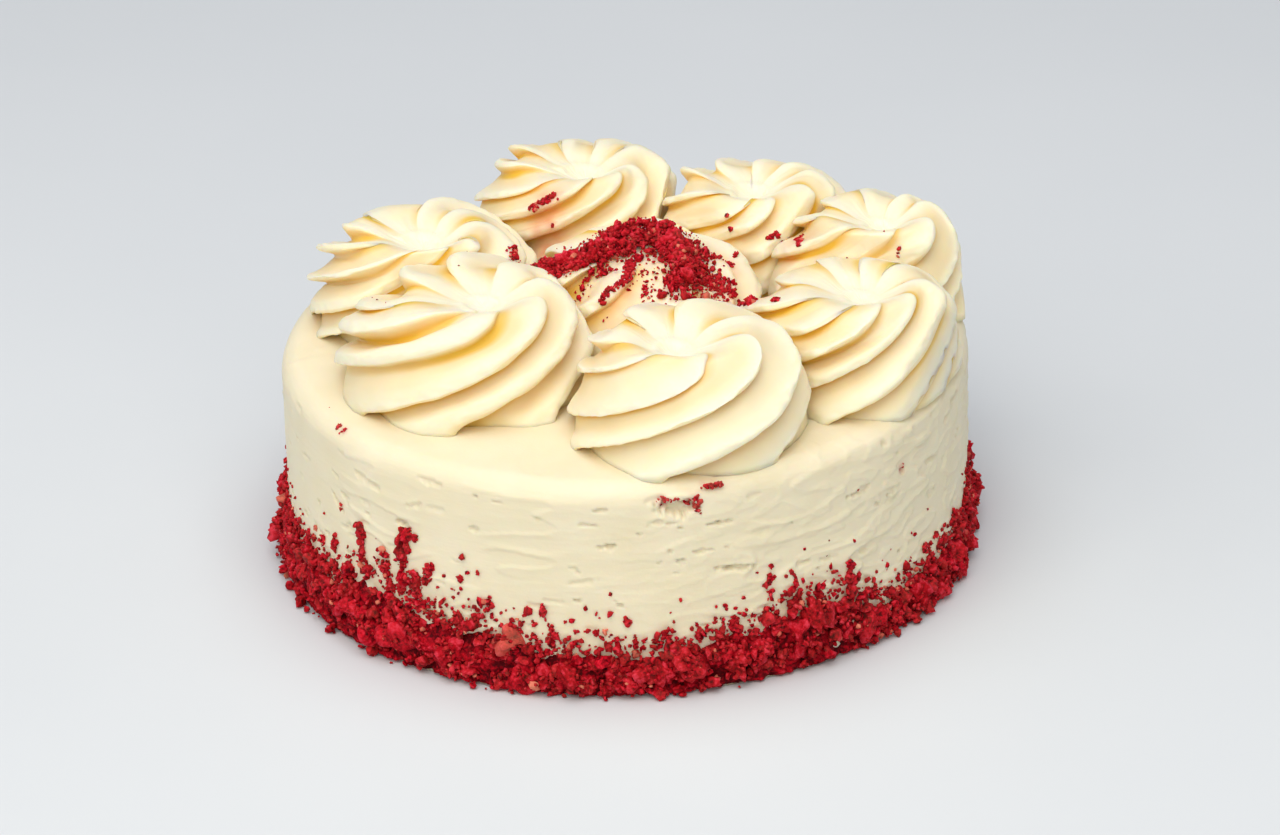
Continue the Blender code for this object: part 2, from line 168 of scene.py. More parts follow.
def lumps(points, size, seed):
    """Smooth noise in about -1..1 at points (..., 3), its lumps `size` metres wide."""
    spot = points / size + 31.7 * seed
    cell = np.floor(spot).astype(np.int64)
    part = spot - cell
    ease = part ** 3 * (part * (part * 6.0 - 15.0) + 10.0)
    total = np.zeros(points.shape[:-1])
    for corner in np.ndindex(2, 2, 2):
        key = (cell + corner) @ SCRAMBLE
        key = (key ^ (key >> 13)) * SCRAMBLE_AGAIN & 0xFFFFFFFF
        key = key ^ (key >> 15)
        turn = (key & 0xFFFF) * (math.tau / 65536.0)
        rise = ((key >> 16) & 0xFFFF) / 32768.0 - 1.0
        flat = np.sqrt(np.maximum(1.0 - rise * rise, 0.0))
        away = part - corner
        push = away[..., 0] * np.cos(turn) * flat + away[..., 1] * np.sin(turn) * flat
        push += away[..., 2] * rise
        total += push * np.prod(np.where(corner, ease, 1.0 - ease), axis=-1)
    return total * 1.6


def stretched(points, across):
    """The same points, so that lumps at them come out `across` times wider than tall."""
    return points / np.array([across, across, 1.0])


def as_points(x, y, z):
    """Points (..., 3) from their coordinates, each an array or one value for all."""
    return np.stack(np.broadcast_arrays(x, y, z), axis=-1)


def points_round(radius, angle, height):
    """Points round the cake's middle."""
    return as_points(radius * np.cos(angle), radius * np.sin(angle), height)


def even_angles(count):
    return np.arange(count) * (math.tau / count)


def angle_from(middle, angle):
    """How far an angle lies from the middle one, within half a turn either way."""
    return (angle - middle + math.pi) % math.tau - math.pi


def ring_faces(rings, columns, first=0):
    """Quads between rings of points that run round the cake or a swirl."""
    row = np.arange(rings - 1)[:, None] * columns
    column = np.arange(columns)[None, :]
    after = (column + 1) % columns
    quads = np.stack([row + column, row + columns + column,
                      row + columns + after, row + after], axis=-1)
    return quads.reshape(-1, 4) + first


def fan_faces(middle, start, columns, upward):
    """Triangles from one point to a ring of points."""
    column = np.arange(columns)
    here, after = start + column, start + (column + 1) % columns
    order = (here, after) if upward else (after, here)
    return np.stack([np.full(columns, middle), *order], axis=-1)


def closed_form(pole, grid, foot):
    """Points and faces of a grid of rings between a point on top and one below."""
    rings, columns = grid.shape[:2]
    points = np.concatenate([[pole], grid.reshape(-1, 3), [foot]])
    last_ring = 1 + (rings - 1) * columns
    faces = ring_faces(rings, columns, first=1).tolist()
    faces += fan_faces(0, 1, columns, True).tolist()
    faces += fan_faces(len(points) - 1, last_ring, columns, False).tolist()
    return points, faces


def grid_normals(grid):
    """Outward directions of a grid of rings that closes round its columns."""
    round_way = np.roll(grid, -1, axis=1) - np.roll(grid, 1, axis=1)
    down_way = np.gradient(grid, axis=0)
    normal = np.cross(down_way, round_way)
    return normal / np.maximum(np.linalg.norm(normal, axis=-1, keepdims=True), 1e-12)


def make_piece(name, points, faces, material, stands_for=(), marks=None):
    """A smooth mesh piece that rides on the cake; `marks` are values per point."""
    mesh = bpy.data.meshes.new(name)
    mesh.from_pydata(points.tolist(), [], faces)
    for label, values in (marks or {}).items():
        mesh.attributes.new(label, "FLOAT", "POINT").data.foreach_set(
            "value", np.asarray(values, np.float32))
    mesh.shade_smooth()
    mesh.materials.append(material)
    piece = bpy.data.objects.new(name, mesh)
    bpy.context.scene.collection.objects.link(piece)
    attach(piece, "root")
    if stands_for:
        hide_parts(*stands_for)


# -------------------------------------------------------------------- materials


def add_node(tree, kind, settings=None, inputs=None):
    """Add a node with its settings, and its sockets filled with values or links."""
    node = tree.nodes.new(kind)
    for name, value in (settings or {}).items():
        setattr(node, name, value)
    for name, value in (inputs or {}).items():
        if isinstance(value, bpy.types.NodeSocket):
            tree.links.new(value, node.inputs[name])
        else:
            node.inputs[name].default_value = value
    return node


def new_finish(name):
    """An empty material, its node tree, and where its points lie in metres."""
    material = bpy.data.materials.new(name)
    material.use_nodes = True
    tree = material.node_tree
    tree.nodes.clear()
    return material, tree, add_node(tree, "ShaderNodeTexCoord").outputs["Object"]


def close_finish(tree, looks):
    """Give a finish its shader and its output."""
    shader = add_node(tree, "ShaderNodeBsdfPrincipled", inputs=looks)
    add_node(tree, "ShaderNodeOutputMaterial", inputs={"Surface": shader.outputs["BSDF"]})


def layered(tree, colour, *layers):
    """A colour with others laid over it, each by the share that comes with it. A mix
    of colours takes the share at socket 0 and the colours at 6 and 7."""
    colour = linear(colour)
    for share, over in layers:
        mix = add_node(tree, "ShaderNodeMix", {"data_type": "RGBA"},
                       {0: share, 6: colour, 7: linear(over)})
        colour = mix.outputs[2]
    return colour


def relief(tree, place, width, detail, strength, height, under=None):
    """The normals of a surface with grain that wide and high, over a coarser relief."""
    grain = add_node(tree, "ShaderNodeTexNoise", inputs={
        "Vector": place, "Scale": 1.0 / width, "Detail": detail})
    bump = add_node(tree, "ShaderNodeBump", inputs={
        "Strength": strength, "Distance": height, "Height": grain.outputs["Fac"]})
    if under is not None:
        tree.links.new(under, bump.inputs["Normal"])
    return bump.outputs["Normal"]


# Spread cream cheese frosting, smoothed with a palette knife: an opaque ivory fat
# emulsion, so it is satin, lets a little warm light through, and shows fine drag
# lines and pinholes. Most real pinholes are too fine to show, so they are drawn
# 0.8 mm wide.
def cream_cheese_frosting():
    material, tree, place = new_finish("spread_cream_cheese_frosting")
    clouds = add_node(tree, "ShaderNodeTexNoise", inputs={
        "Vector": place, "Scale": 1.0 / (14.0 * MM), "Detail": 3.0})
    stain = add_node(tree, "ShaderNodeAttribute", {"attribute_name": "stain"})
    colour = layered(tree, "#EADEBA", (clouds.outputs["Fac"], "#F3E9CD"),
                     (stain.outputs["Fac"], "#C24A4C"))
    squeezed = add_node(tree, "ShaderNodeMapping", inputs={
        "Vector": place, "Scale": (1.0, 1.0, 6.0)})
    drag = relief(tree, squeezed.outputs["Vector"], width=7.0 * MM, detail=3.0,
                  strength=0.22, height=0.4 * MM)
    pinholes = relief(tree, place, width=0.8 * MM, detail=2.0, strength=0.25,
                      height=0.15 * MM, under=drag)
    close_finish(tree, {
        "Base Color": colour, "Roughness": 0.50, "IOR": 1.46,
        "Subsurface Weight": 0.35, "Subsurface Radius": (1.0, 0.62, 0.30),
        "Subsurface Scale": 2.0 * MM, "Normal": pinholes})
    return material


# Whipped buttercream, piped: butter and sugar with air in it, so light wanders
# through it and the crests stay pale. The butter-yellow in the grooves is partly that light and
# partly painted shade: a deeper yellow laid into the colour by the groove mark, most just below
# the leaning crests.
# Its air cells, under a tenth of a millimetre, are too fine to show, so they are
# drawn as a faint grain 0.9 mm wide.
def piped_buttercream():
    material, tree, place = new_finish("piped_whipped_buttercream")
    clouds = add_node(tree, "ShaderNodeTexNoise", inputs={
        "Vector": place, "Scale": 1.0 / (9.0 * MM), "Detail": 2.0})
    groove, stain = (
        add_node(tree, "ShaderNodeAttribute", {"attribute_name": mark}).outputs["Fac"]
        for mark in ("groove", "stain"))
    # The groove mark lays a deep butter-yellow painted shade into the grooves; the stain is red
    # bled from crumbs.
    colour = layered(tree, "#F9EDCC", (clouds.outputs["Fac"], "#FBF3DB"),
                     (groove, "#ECBE3C"), (stain, "#F0925E"))
    foam = relief(tree, place, width=0.9 * MM, detail=3.0, strength=0.20, height=0.12 * MM)
    close_finish(tree, {
        "Base Color": colour, "Roughness": 0.42, "IOR": 1.46,
        "Subsurface Weight": 0.55, "Subsurface Radius": (1.0, 0.66, 0.26),
        "Subsurface Scale": 3.5 * MM, "Normal": foam})
    return material


# Crumbled red velvet sponge: moist open crumb dyed crimson, so it is rough, with the
# odd crumb paler where sugar or frosting clings. Its pores and hollows get painted shade,
# nearly black-red, and its crags and fine specks a lighter red painted highlight.
def red_velvet_crumb():
    material, tree, place = new_finish("crumbled_red_velvet_sponge")
    tint, crag_shading, pale = (
        add_node(tree, "ShaderNodeAttribute", {"attribute_name": mark}).outputs["Fac"]
        for mark in ("tint", "crag_shading", "pale"))
    painted_specks = add_node(tree, "ShaderNodeTexNoise", inputs={
        "Vector": place, "Scale": 1.0 / (0.9 * MM), "Detail": 3.0})
    # Where a crumb's crag mark and fine specks are low it gets painted shade, and where they are
    # high a painted highlight.
    crag_light_and_shade = add_node(tree, "ShaderNodeMath", {"operation": "MULTIPLY_ADD"}, {
        0: painted_specks.outputs["Fac"], 1: 1.6, 2: crag_shading})
    hollow_painted_shade, light = (
        add_node(tree, "ShaderNodeMapRange", inputs={
            "Value": crag_light_and_shade.outputs["Value"], "From Min": low, "From Max": high,
            "To Min": at_low, "To Max": at_high}).outputs["Result"]
        for low, high, at_low, at_high in ((0.92, 1.42, 0.92, 0.0), (1.45, 1.85, 0.0, 0.75)))
    # The near-black red is painted shade and the light red a painted highlight.
    colour = layered(tree, "#A80010", (tint, "#D61028"), (hollow_painted_shade, "#400006"),
                     (light, "#EC4055"), (pale, "#EC8B70"))
    pores = relief(tree, place, width=0.6 * MM, detail=4.0, strength=0.9, height=0.35 * MM)
    close_finish(tree, {
        "Base Color": colour, "Roughness": 0.60, "IOR": 1.45, "Specular IOR Level": 0.10,
        "Subsurface Weight": 0.12, "Subsurface Radius": (1.0, 0.10, 0.10),
        "Subsurface Scale": 0.8 * MM, "Normal": pores})
    return material


# Matt painted board, pale blue-grey, with faint clouds.
def painted_board():
    material, tree, place = new_finish("painted_backdrop_board")
    clouds = add_node(tree, "ShaderNodeTexNoise", inputs={
        "Vector": place, "Scale": 1.0 / (250.0 * MM), "Detail": 4.0})
    colour = layered(tree, "#D2D6D9", (clouds.outputs["Fac"], "#DDE0E2"))
    close_finish(tree, {"Base Color": colour, "Roughness": 0.8})
    return material


# ----------------------------------------------------------------------- swirls


def crest_line(share, radius, height, dimple):
    """Radius and height of a strand's crest, `share` of the way out."""
    top = height * np.maximum(1.0 - share ** TOP_FLATNESS, 0.0) ** SIDE_STEEPNESS
    return radius * share, top - dimple * (1.0 - smooth_step(0.0, DIMPLE_REACH, share))


def groove_line(share, radius, height, dimple, parting, depth):
    """The bottom of the groove below that crest, square to the swirl's outline."""
    step = 0.01
    near = np.array(crest_line(np.maximum(share - step, 0.0), radius, height, dimple))
    far = np.array(crest_line(np.minimum(share + step, 1.0), radius, height, dimple))
    along = (far - near) / np.linalg.norm(far - near, axis=0)
    deep = GROOVE_NEAR_POLE * smooth_step(parting, parting + GROOVE_GROWS, share)
    to_rim = (GROOVE_AT_RIM - GROOVE_NEAR_POLE) * smooth_step(*GROOVE_GROWS_AGAIN, share)
    deep = depth * (deep + to_rim)
    out, top = crest_line(share, radius, height, dimple)
    return out + along[1] * deep, np.maximum(top - along[0] * deep, 0.0)


def twist_at(share, stop):
    """How far a strand has turned, clockwise from above, on its way out."""
    drop = 1.0 - np.maximum(1.0 - share ** TOP_FLATNESS, 0.0) ** SIDE_STEEPNESS
    drop = pressed_in(drop, stop, STOP_SOFTNESS)
    return TOP_TWIST * np.arcsin(TWIST_RUSH * share) / math.asin(TWIST_RUSH) + SIDE_TWIST * drop


def strand_plan(first_tip, count, rng):
    """Start angle, width and lift of each strand, unevenly shared round the circle."""
    widths = np.array([1.0 + rng.uniform(-STRAND_JITTER, STRAND_JITTER) for _ in range(count)])
    widths *= math.tau / widths.sum()
    starts = math.radians(first_tip) - widths[0] * STRAND_TIP + np.cumsum(widths) - widths
    lifts = np.array([rng.uniform(*STRAND_LIFT) for _ in range(count)])
    return starts, widths, lifts


def section_curve(section):
    """A smooth line through a strand's cross-section points, groove to groove."""
    points = np.array([section[-1], *section, (1.0, 0.0), section[1]], float)
    points[0, 0] -= 1.0
    points[-1, 0] += 1.0
    line = []
    for a, b, c, d in zip(points, points[1:], points[2:], points[3:]):
        for step in range(STEPS_PER_POINT):
            t = step / STEPS_PER_POINT
            line.append(0.5 * (2.0 * b + (c - a) * t + (2.0 * a - 5.0 * b + 4.0 * c - d) * t ** 2
                               + (3.0 * b - a - 3.0 * c + d) * t ** 3))
    return np.array(line).T


def ring_shares(radius, height, dimple):
    """Shares of the way out that space the rings evenly along a crest."""
    share = np.linspace(FIRST_RING, 1.0, 2000)
    out, top = crest_line(share, radius, height, dimple)
    length = np.concatenate([[0.0], np.cumsum(np.hypot(np.diff(out), np.diff(top)))])
    return np.interp(np.linspace(0.0, length[-1], SWIRL_RINGS), length, share)


def cell_walls(node):
    """(direction, distance) of the faces where a swirl is pressed by the others."""
    x, y, size = SWIRLS[node][:3]
    walls = []
    for other, values in SWIRLS.items():
        away = np.array([values[0] - x, values[1] - y])
        apart = np.linalg.norm(away)
        own, others = size * SWIRL_RADIUS, values[2] * SWIRL_RADIUS
        if other != node and apart < (own + others) * STRAND_REACH[1] + PIECE_GAP:
            wall = (apart ** 2 + own ** 2 - others ** 2) / (2.0 * apart)
            walls.append((away / apart, wall - WALL_GAP))
    return walls


def pressed_in(reach, wall, softness):
    """Reach, eased so that it never passes the wall."""
    start = wall - softness
    over = np.maximum(reach - start, 0.0)
    return np.where(reach > start, start + softness * (1.0 - np.exp(-over / softness)), reach)


def keep_in_cell(grid, centre, walls):
    """Press a swirl's points in where it meets its neighbours and the cake's edge."""
    offset = grid[..., :2] - centre[:2]
    scale = np.ones(grid.shape[:2])
    for direction, wall in walls:
        reach = offset @ direction
        scale = np.where(reach > wall - PRESS_SOFTNESS,
                         np.minimum(scale, pressed_in(reach, wall, PRESS_SOFTNESS)
                                    / np.maximum(reach, 1e-9)), scale)
    place = centre[:2] + offset * scale[..., None]
    out = np.linalg.norm(place, axis=-1)
    place *= (pressed_in(out, OVERHANG_LIMIT, PRESS_SOFTNESS) / out)[..., None]
    grid[..., :2] = place


def groove_values(rng, limits, strand, part):
    """A random value for every groove, eased over from one to the next."""
    values = np.array([rng.uniform(*limits) for _ in range(strand.max() + 1)])
    values = np.append(values, values[0])
    return values[strand] + (values[strand + 1] - values[strand]) * smooth_step(*EASE_OVER, part)


# Where crumbs have bled into the buttercream: x, y, reach in millimetres, strength
BLEEDS = (
    (-19.0, 31.0, 4.5, 0.75),
    (-14.0, -2.0, 5.0, 0.35),
    (3.0, 3.0, 7.0, 0.35),
    (17.0, -12.0, 8.0, 0.35),
    (1.0, -19.0, 5.0, 0.40),
    (27.0, 0.0, 5.0, 0.45),
    (29.0, -13.0, 5.0, 0.50),
    (38.0, -26.0, 3.0, 0.45),
    (47.0, 5.0, 4.0, 0.45),
)
BLEED_RISE = 4.0 * MM            # height over the frosting where they are at full strength


def bled_red(points):
    """How much red has bled into the buttercream at each point."""
    share = np.zeros(len(points))
    for x, y, reach, strength in BLEEDS:
        away = np.hypot(points[:, 0] - x * MM, points[:, 1] - y * MM) / (reach * MM)
        share = np.maximum(share, strength * np.exp(-away ** 2))
    share *= 0.75 + 0.6 * lumps(points, 3.0 * MM, seed=12)
    return np.clip(share * smooth_step(CAKE_TOP, CAKE_TOP + BLEED_RISE, points[:, 2]), 0.0, 1.0)


def strand_sections(share, lean):
    """Each point's strand, place across it, and height between its groove and crest."""
    soft, even, leaning = (np.tile(section_curve(line), len(lean))[:, None] for line in
                           (SOFT_SECTION, EVEN_SECTION, LEANING_SECTION))
    strand = np.repeat(np.arange(len(lean)), soft.shape[-1] // len(lean))[None, :]
    outer = even * (1.0 - lean[strand]) + leaning * lean[strand]
    part, rise = soft + (outer - soft) * smooth_step(*RIBS_RISE, share)
    return strand, part, rise


def swirl_wobble(points, across, share, tail_angle, radius, lip, seed):
    """How far a swirl's skin stands out: soft lumps, the curl on top, fine drag lines
    along the strands and the lifted bits of a torn lip."""
    tail_radius = TAIL_START + TAIL_SPREAD * tail_angle / math.tau
    off_tail = (share * radius - tail_radius) / TAIL_WIDTH
    wobble = SWIRL_WOBBLE * lumps(points, 8.0 * MM, seed)
    wobble += TAIL_RIDGE * np.exp(-off_tail ** 2) * smooth_step(0.0, 1.2, tail_angle)
    wobble += DRAG_LINES * lumps(as_points(across * DRAG_COUNT, share * 2.0, seed), 1.0, seed=7)
    return wobble + LIP_LIFT * lip * lumps(points, 2.4 * MM, seed + 20)


def painted_groove_shade(share, part, rise, sway):
    """How much painted shade, a deeper butter-yellow, each point gets: most in the groove just
    below the leaning crest.
    """
    past_wall = (part + 0.10) % 1.0
    low = 1.0 - np.clip(rise, 0.0, 1.0)
    deep = np.maximum(np.exp(-(past_wall / 0.30) ** 2) * (0.2 + 0.8 * low), 0.42 * low)
    return deep * (smooth_step(0.12, 0.5, share) * (0.95 + 0.5 * sway))


def make_swirl(node, material, rng):
    """One piped swirl: rings of points that follow the strands from pole to foot."""
    x, y, size, tall, shift_x, shift_y, first_tip, count, turn, hollow = SWIRLS[node]
    seed = list(SWIRLS).index(node) + 1
    own = random.Random(seed)
    centre = np.array([x, y, CAKE_TOP + PIECE_GAP])
    radius, height, dimple = size * SWIRL_RADIUS, tall * SWIRL_HEIGHT, hollow * DIMPLE_DEPTH
    starts, widths, lifts = strand_plan(first_tip, count, rng)
    share = ring_shares(radius, height, dimple)[:, None]
    lean = np.array([own.uniform(*STRAND_LEAN) for _ in range(count)])
    strand, part, rise = strand_sections(share, lean)

    partings, depths, reaches, stops = (
        groove_values(own, limits, strand, part)
        for limits in (STRANDS_PART, GROOVE_DEPTHS, STRAND_REACH, STRAND_STOPS))
    crest = crest_line(share, radius, height, dimple)
    groove = groove_line(share, radius, height, dimple, partings, depths)
    out, up = (below + (above - below) * rise for below, above in zip(groove, crest))
    outward = smooth_step(*OWN_WAYS, share)
    up *= 1.0 + lifts[strand] * np.maximum(rise, 0.0) * outward
    out *= 1.0 + (reaches - 1.0) * outward

    # The sway has no seam, since its noise is read round a circle
    across = strand + part
    around = across * math.tau / count
    sway = lumps(as_points(share * 3.0, 1.9 * np.cos(around), 1.9 * np.sin(around)), 1.0, seed)
    lip = smooth_step(*LIP_HEIGHT, rise) * smooth_step(*LIP_OUT, share)
    teeth = as_points(share * radius / LIP_TEETH, 40.0 * strand + 3.0 * part, seed)
    tear = lip * lumps(teeth, 1.0, seed=31)
    angle = starts[strand] + widths[strand] * (part + STRAND_SWAY * sway + LIP_TEAR * tear)
    angle += turn * (twist_at(1.0, STRAND_STOPS[1]) - twist_at(share, stops))

    slide = (1.0 - share) ** POLE_SLIDE
    grid = as_points(centre[0] + shift_x * slide + out * np.cos(angle),
                     centre[1] + shift_y * slide + out * np.sin(angle), centre[2] + up)
    keep_in_cell(grid, centre, cell_walls(node))
    tail_angle = (angle - math.radians(first_tip)) % math.tau
    wobble = swirl_wobble(grid, across, share, tail_angle, radius, lip, seed)
    grid += grid_normals(grid) * wobble[..., None]
    foot = CAKE_TOP - FOOT_SINK
    grid[-1, :, 2] = foot

    points, faces = closed_form(grid[0].mean(axis=0), grid, (x, y, foot))
    # The groove mark is painted shade in the buttercream's colour.
    groove_painted_shade = np.concatenate([[0.0], painted_groove_shade(share, part, rise, sway).reshape(-1), [1.0]])
    make_piece(node.replace("rosette", "swirl"), points, faces, material,
               (node,), {"groove": groove_painted_shade, "stain": bled_red(points)})


# ------------------------------------------------------------- frosted cake body

BODY_COLUMNS = 1100
FINE_STEP = 0.5 * MM
EDGE_STEP = 1.0 * MM
COARSE_STEP = 2.2 * MM
FIRST_BODY_RING = 4.0 * MM
SWIRLS_COVER = 50.0 * MM         # out to here the swirls hide most of the top
CRUMBS_COVER = 10.0 * MM         # up to here the crumbs hide the side


def body_outline():
    """Radius, height and outward direction along the cake's outline, from the middle
    of the top over the rounded edge and down to the floor."""
    arc = np.linspace(0.0, math.pi / 2.0, 16)
    top = np.concatenate([np.arange(FIRST_BODY_RING, SWIRLS_COVER, COARSE_STEP),
                          np.arange(SWIRLS_COVER, CAKE_RADIUS - EDGE_ROUND, EDGE_STEP)])
    below_edge = CAKE_TOP - EDGE_ROUND - FINE_STEP
    side = np.concatenate([np.arange(below_edge, CRUMBS_COVER, -FINE_STEP),
                           np.arange(CRUMBS_COVER, 0.0, -COARSE_STEP), [0.0]])
    radius = np.concatenate([top, CAKE_RADIUS - EDGE_ROUND * (1.0 - np.sin(arc)),
                             np.full(len(side), CAKE_RADIUS)])
    height = np.concatenate([np.full(len(top), CAKE_TOP),
                             CAKE_TOP - EDGE_ROUND * (1.0 - np.cos(arc)), side])
    tilt = np.concatenate([np.zeros(len(top)), arc, np.full(len(side), math.pi / 2.0)])
    return radius, height, tilt


# Nicks where the knife dragged or a bubble broke, on the side of the cake
NICK_SEED = 5
NICK_COUNT = 300
NICK_HALF_LENGTH = (0.7 * MM, 3.4 * MM)
NICK_HALF_HEIGHT = (0.35 * MM, 0.75 * MM)
NICK_DEPTH = (0.30 * MM, 0.85 * MM)
NICK_SLOPE = 0.12
NICKS_ABOVE = 15.0 * MM
NICKS_BELOW_TOP = 3.0 * MM
# Nicks that show plainly: angle; height, half length, half height and depth in
# millimetres; slope
PLAIN_NICKS = (
    (-82.0, 52.2, 4.8, 2.3, 2.8, 0.00),
    (-72.6, 33.2, 5.4, 0.8, 1.1, -0.10),
    (-61.2, 30.2, 2.4, 0.7, 0.8, 0.00),
    (-145.5, 37.5, 3.4, 0.8, 0.9, -0.60),
    (-137.0, 48.5, 4.6, 0.8, 0.7, -0.20),
    (-124.0, 54.0, 4.0, 0.7, 0.7, -0.10),
    (-50.0, 45.0, 3.8, 0.8, 0.8, 0.10),
    (-39.5, 44.6, 1.2, 0.9, 0.9, 0.00),
)
BROAD_WAVES = 0.50 * MM          # slow waves in the spread frosting
STROKE_WAVES = 0.20 * MM         # the knife's strokes
LEDGES = 0.34 * MM               # where one stroke ends over another
LEDGE_EDGE = (-0.03, 0.03, 0.5)  # how sharply a ledge starts and how slowly it runs out
WIPE_LINES = 0.04 * MM
# The right of the front was dragged dry, so it is torn into small flakes
ROUGH_MIDDLE = math.radians(-40)
ROUGH_HALF_ANGLE = math.radians(42)
TORN_FLAKES = 0.30 * MM
FLAKE_EDGE = (0.06, 0.12, 0.6)
TOP_SMOOTHNESS = 0.45            # share of the side's marks that the top has


def frosting_nicks():
    """The plain nicks and the random ones, in metres."""
    rng = random.Random(NICK_SEED)
    nicks = [(degrees, *(size * MM for size in sizes), slope)
             for degrees, *sizes, slope in PLAIN_NICKS]
    for _ in range(NICK_COUNT):
        size = rng.random() ** 1.7
        length = NICK_HALF_LENGTH[0] + (NICK_HALF_LENGTH[1] - NICK_HALF_LENGTH[0]) * size
        tall = rng.uniform(*NICK_HALF_HEIGHT) * (0.8 + 0.4 * size)
        degrees = rng.uniform(-180.0, 180.0)
        level = rng.uniform(NICKS_ABOVE, CAKE_TOP - NICKS_BELOW_TOP)
        nicks.append((degrees, level, length, tall, rng.uniform(*NICK_DEPTH),
                      rng.gauss(0.0, NICK_SLOPE)))
    return nicks


def knife_marks(points, angle, height):
    """How far the spread frosting stands out from a true drum, in metres."""
    out = BROAD_WAVES * lumps(points, 34.0 * MM, seed=1)
    out += STROKE_WAVES * lumps(stretched(points, 3.5), 9.0 * MM, seed=2)
    ledge = ledge_step(*LEDGE_EDGE, lumps(stretched(points, 3.6), 6.5 * MM, seed=3))
    patches = smooth_step(0.05, 0.35, lumps(points, 24.0 * MM, seed=6))
    rough = np.exp(-(angle_from(ROUGH_MIDDLE, angle) / ROUGH_HALF_ANGLE) ** 2)
    out += LEDGES * ledge * (patches + rough)
    torn = ledge_step(*FLAKE_EDGE, lumps(stretched(points, 2.2), 3.4 * MM, seed=13))
    out += TORN_FLAKES * rough * torn
    out += WIPE_LINES * lumps(stretched(points, 7.0), 1.6 * MM, seed=4)
    ragged = 0.60 * lumps(points, 1.5 * MM, seed=8) + 0.50 * lumps(points, 3.6 * MM, seed=9)
    # A nick is a ragged pit with a lip of frosting pushed up above it
    for degrees, level, length, tall, deep, slope in frosting_nicks():
        along = angle_from(math.radians(degrees), angle) * CAKE_RADIUS
        across, above = along / length, (height - level - slope * along) / tall
        near = (np.abs(across) < 1.6) & (np.abs(above) < 2.4)
        away = np.hypot(across, above * (1.0 + 0.35 * np.sign(above))) + ragged
        pit = 1.0 - smooth_step(0.66, 1.04, away)
        lip = np.exp(-((above - 1.15) / 0.4) ** 2) * np.clip(1.1 - across ** 2, 0.0, 1.0)
        out += np.where(near, 0.30 * deep * lip - deep * pit, 0.0)
    return out


def frosting_point(angle, radius, height, tilt):
    """Points of the frosting's surface at those places along the outline."""
    base = points_round(radius, angle, height)
    on_side = smooth_step(0.2, 1.0, np.sin(tilt))
    out = knife_marks(base, angle, height) * (TOP_SMOOTHNESS + (1.0 - TOP_SMOOTHNESS) * on_side)
    out *= smooth_step(0.0, 3.0 * MM, height)
    shift = points_round(out * np.sin(tilt), angle, out * np.cos(tilt))
    shift[..., 0] += LEAN * height / CAKE_TOP
    return base + shift


# Places where a red crumb has bled into the frosting: x, y, z, reach in millimetres
STAINS = (
    (9.4, -88.6, 53.6, 1.5),
    (16.2, -87.8, 53.0, 1.6),
    (17.4, -87.6, 51.4, 1.2),
    (19.6, -87.3, 58.2, 1.3),
    (22.4, -86.9, 58.3, 1.5),
    (-72.2, -49.4, 58.4, 1.0),
    (-71.0, -51.0, 57.6, 1.1),
    (70.0, -57.5, 45.0, 1.2),
)


def stain_share(points):
    """How much red has bled into the frosting at each point."""
    share = np.zeros(len(points))
    for x, y, z, reach in STAINS:
        away = np.linalg.norm(points - np.array([x, y, z]) * MM, axis=1)
        share = np.maximum(share, np.exp(-(away / (reach * MM)) ** 2))
    return np.clip(share * (0.75 + 0.7 * lumps(points, 1.0 * MM, seed=9)), 0.0, 1.0)


def make_frosted_cake(material):
    radius, height, tilt = (line[:, None] for line in body_outline())
    grid = frosting_point(even_angles(BODY_COLUMNS)[None, :], radius, height, tilt)
    grid[-1, :, 2] = 0.0
    points, faces = closed_form((0.0, 0.0, CAKE_TOP), grid, (0.0, 0.0, 0.0))
    make_piece("frosted_cake", points, faces, material, ("cake",),
               {"stain": stain_share(points)})


# ----------------------------------------------------------------------- crumbs

CRUMB_SHAPES = 14                # different shapes in each piece
# What makes a crumb craggy: height and width in radii, first seed
CRAGS = ((0.60, 0.95, 1), (0.42, 0.50, 40))
PORES = (0.45, 0.30, 80)
CRUMB_STRETCH = (0.65, 1.25)
# Each piece of crumbs: how finely its crumbs are cut, and their seed
CRUMB_PIECES = {
    "foot_crumb_lumps": (3, 200), "foot_crumb_grains": (1, 201),
    "foot_crumbs": (2, 202), "foot_crumb_bits": (1, 203),
    "side_specks": (1, 302), "climbing_crumbs": (2, 331), "caught_crumbs": (2, 361),
    "top_crumb_lumps": (3, 498), "top_crumb_grains": (1, 499),
    "top_crumbs": (2, 500), "top_crumb_specks": (1, 501), "strewn_top_crumbs": (1, 510),
}
# Seeds of where the crumbs lie
PLACE_SEEDS = {"foot_crumb_lumps": 100, "foot_crumbs": 101, "foot_crumb_bits": 102,
               "side_specks": 301, "climbing_crumbs": 330, "caught_crumbs": 360,
               "top_crumb_lumps": 399, "top_crumbs": 400, "top_crumb_specks": 401,
               "strewn_top_crumbs": 450}


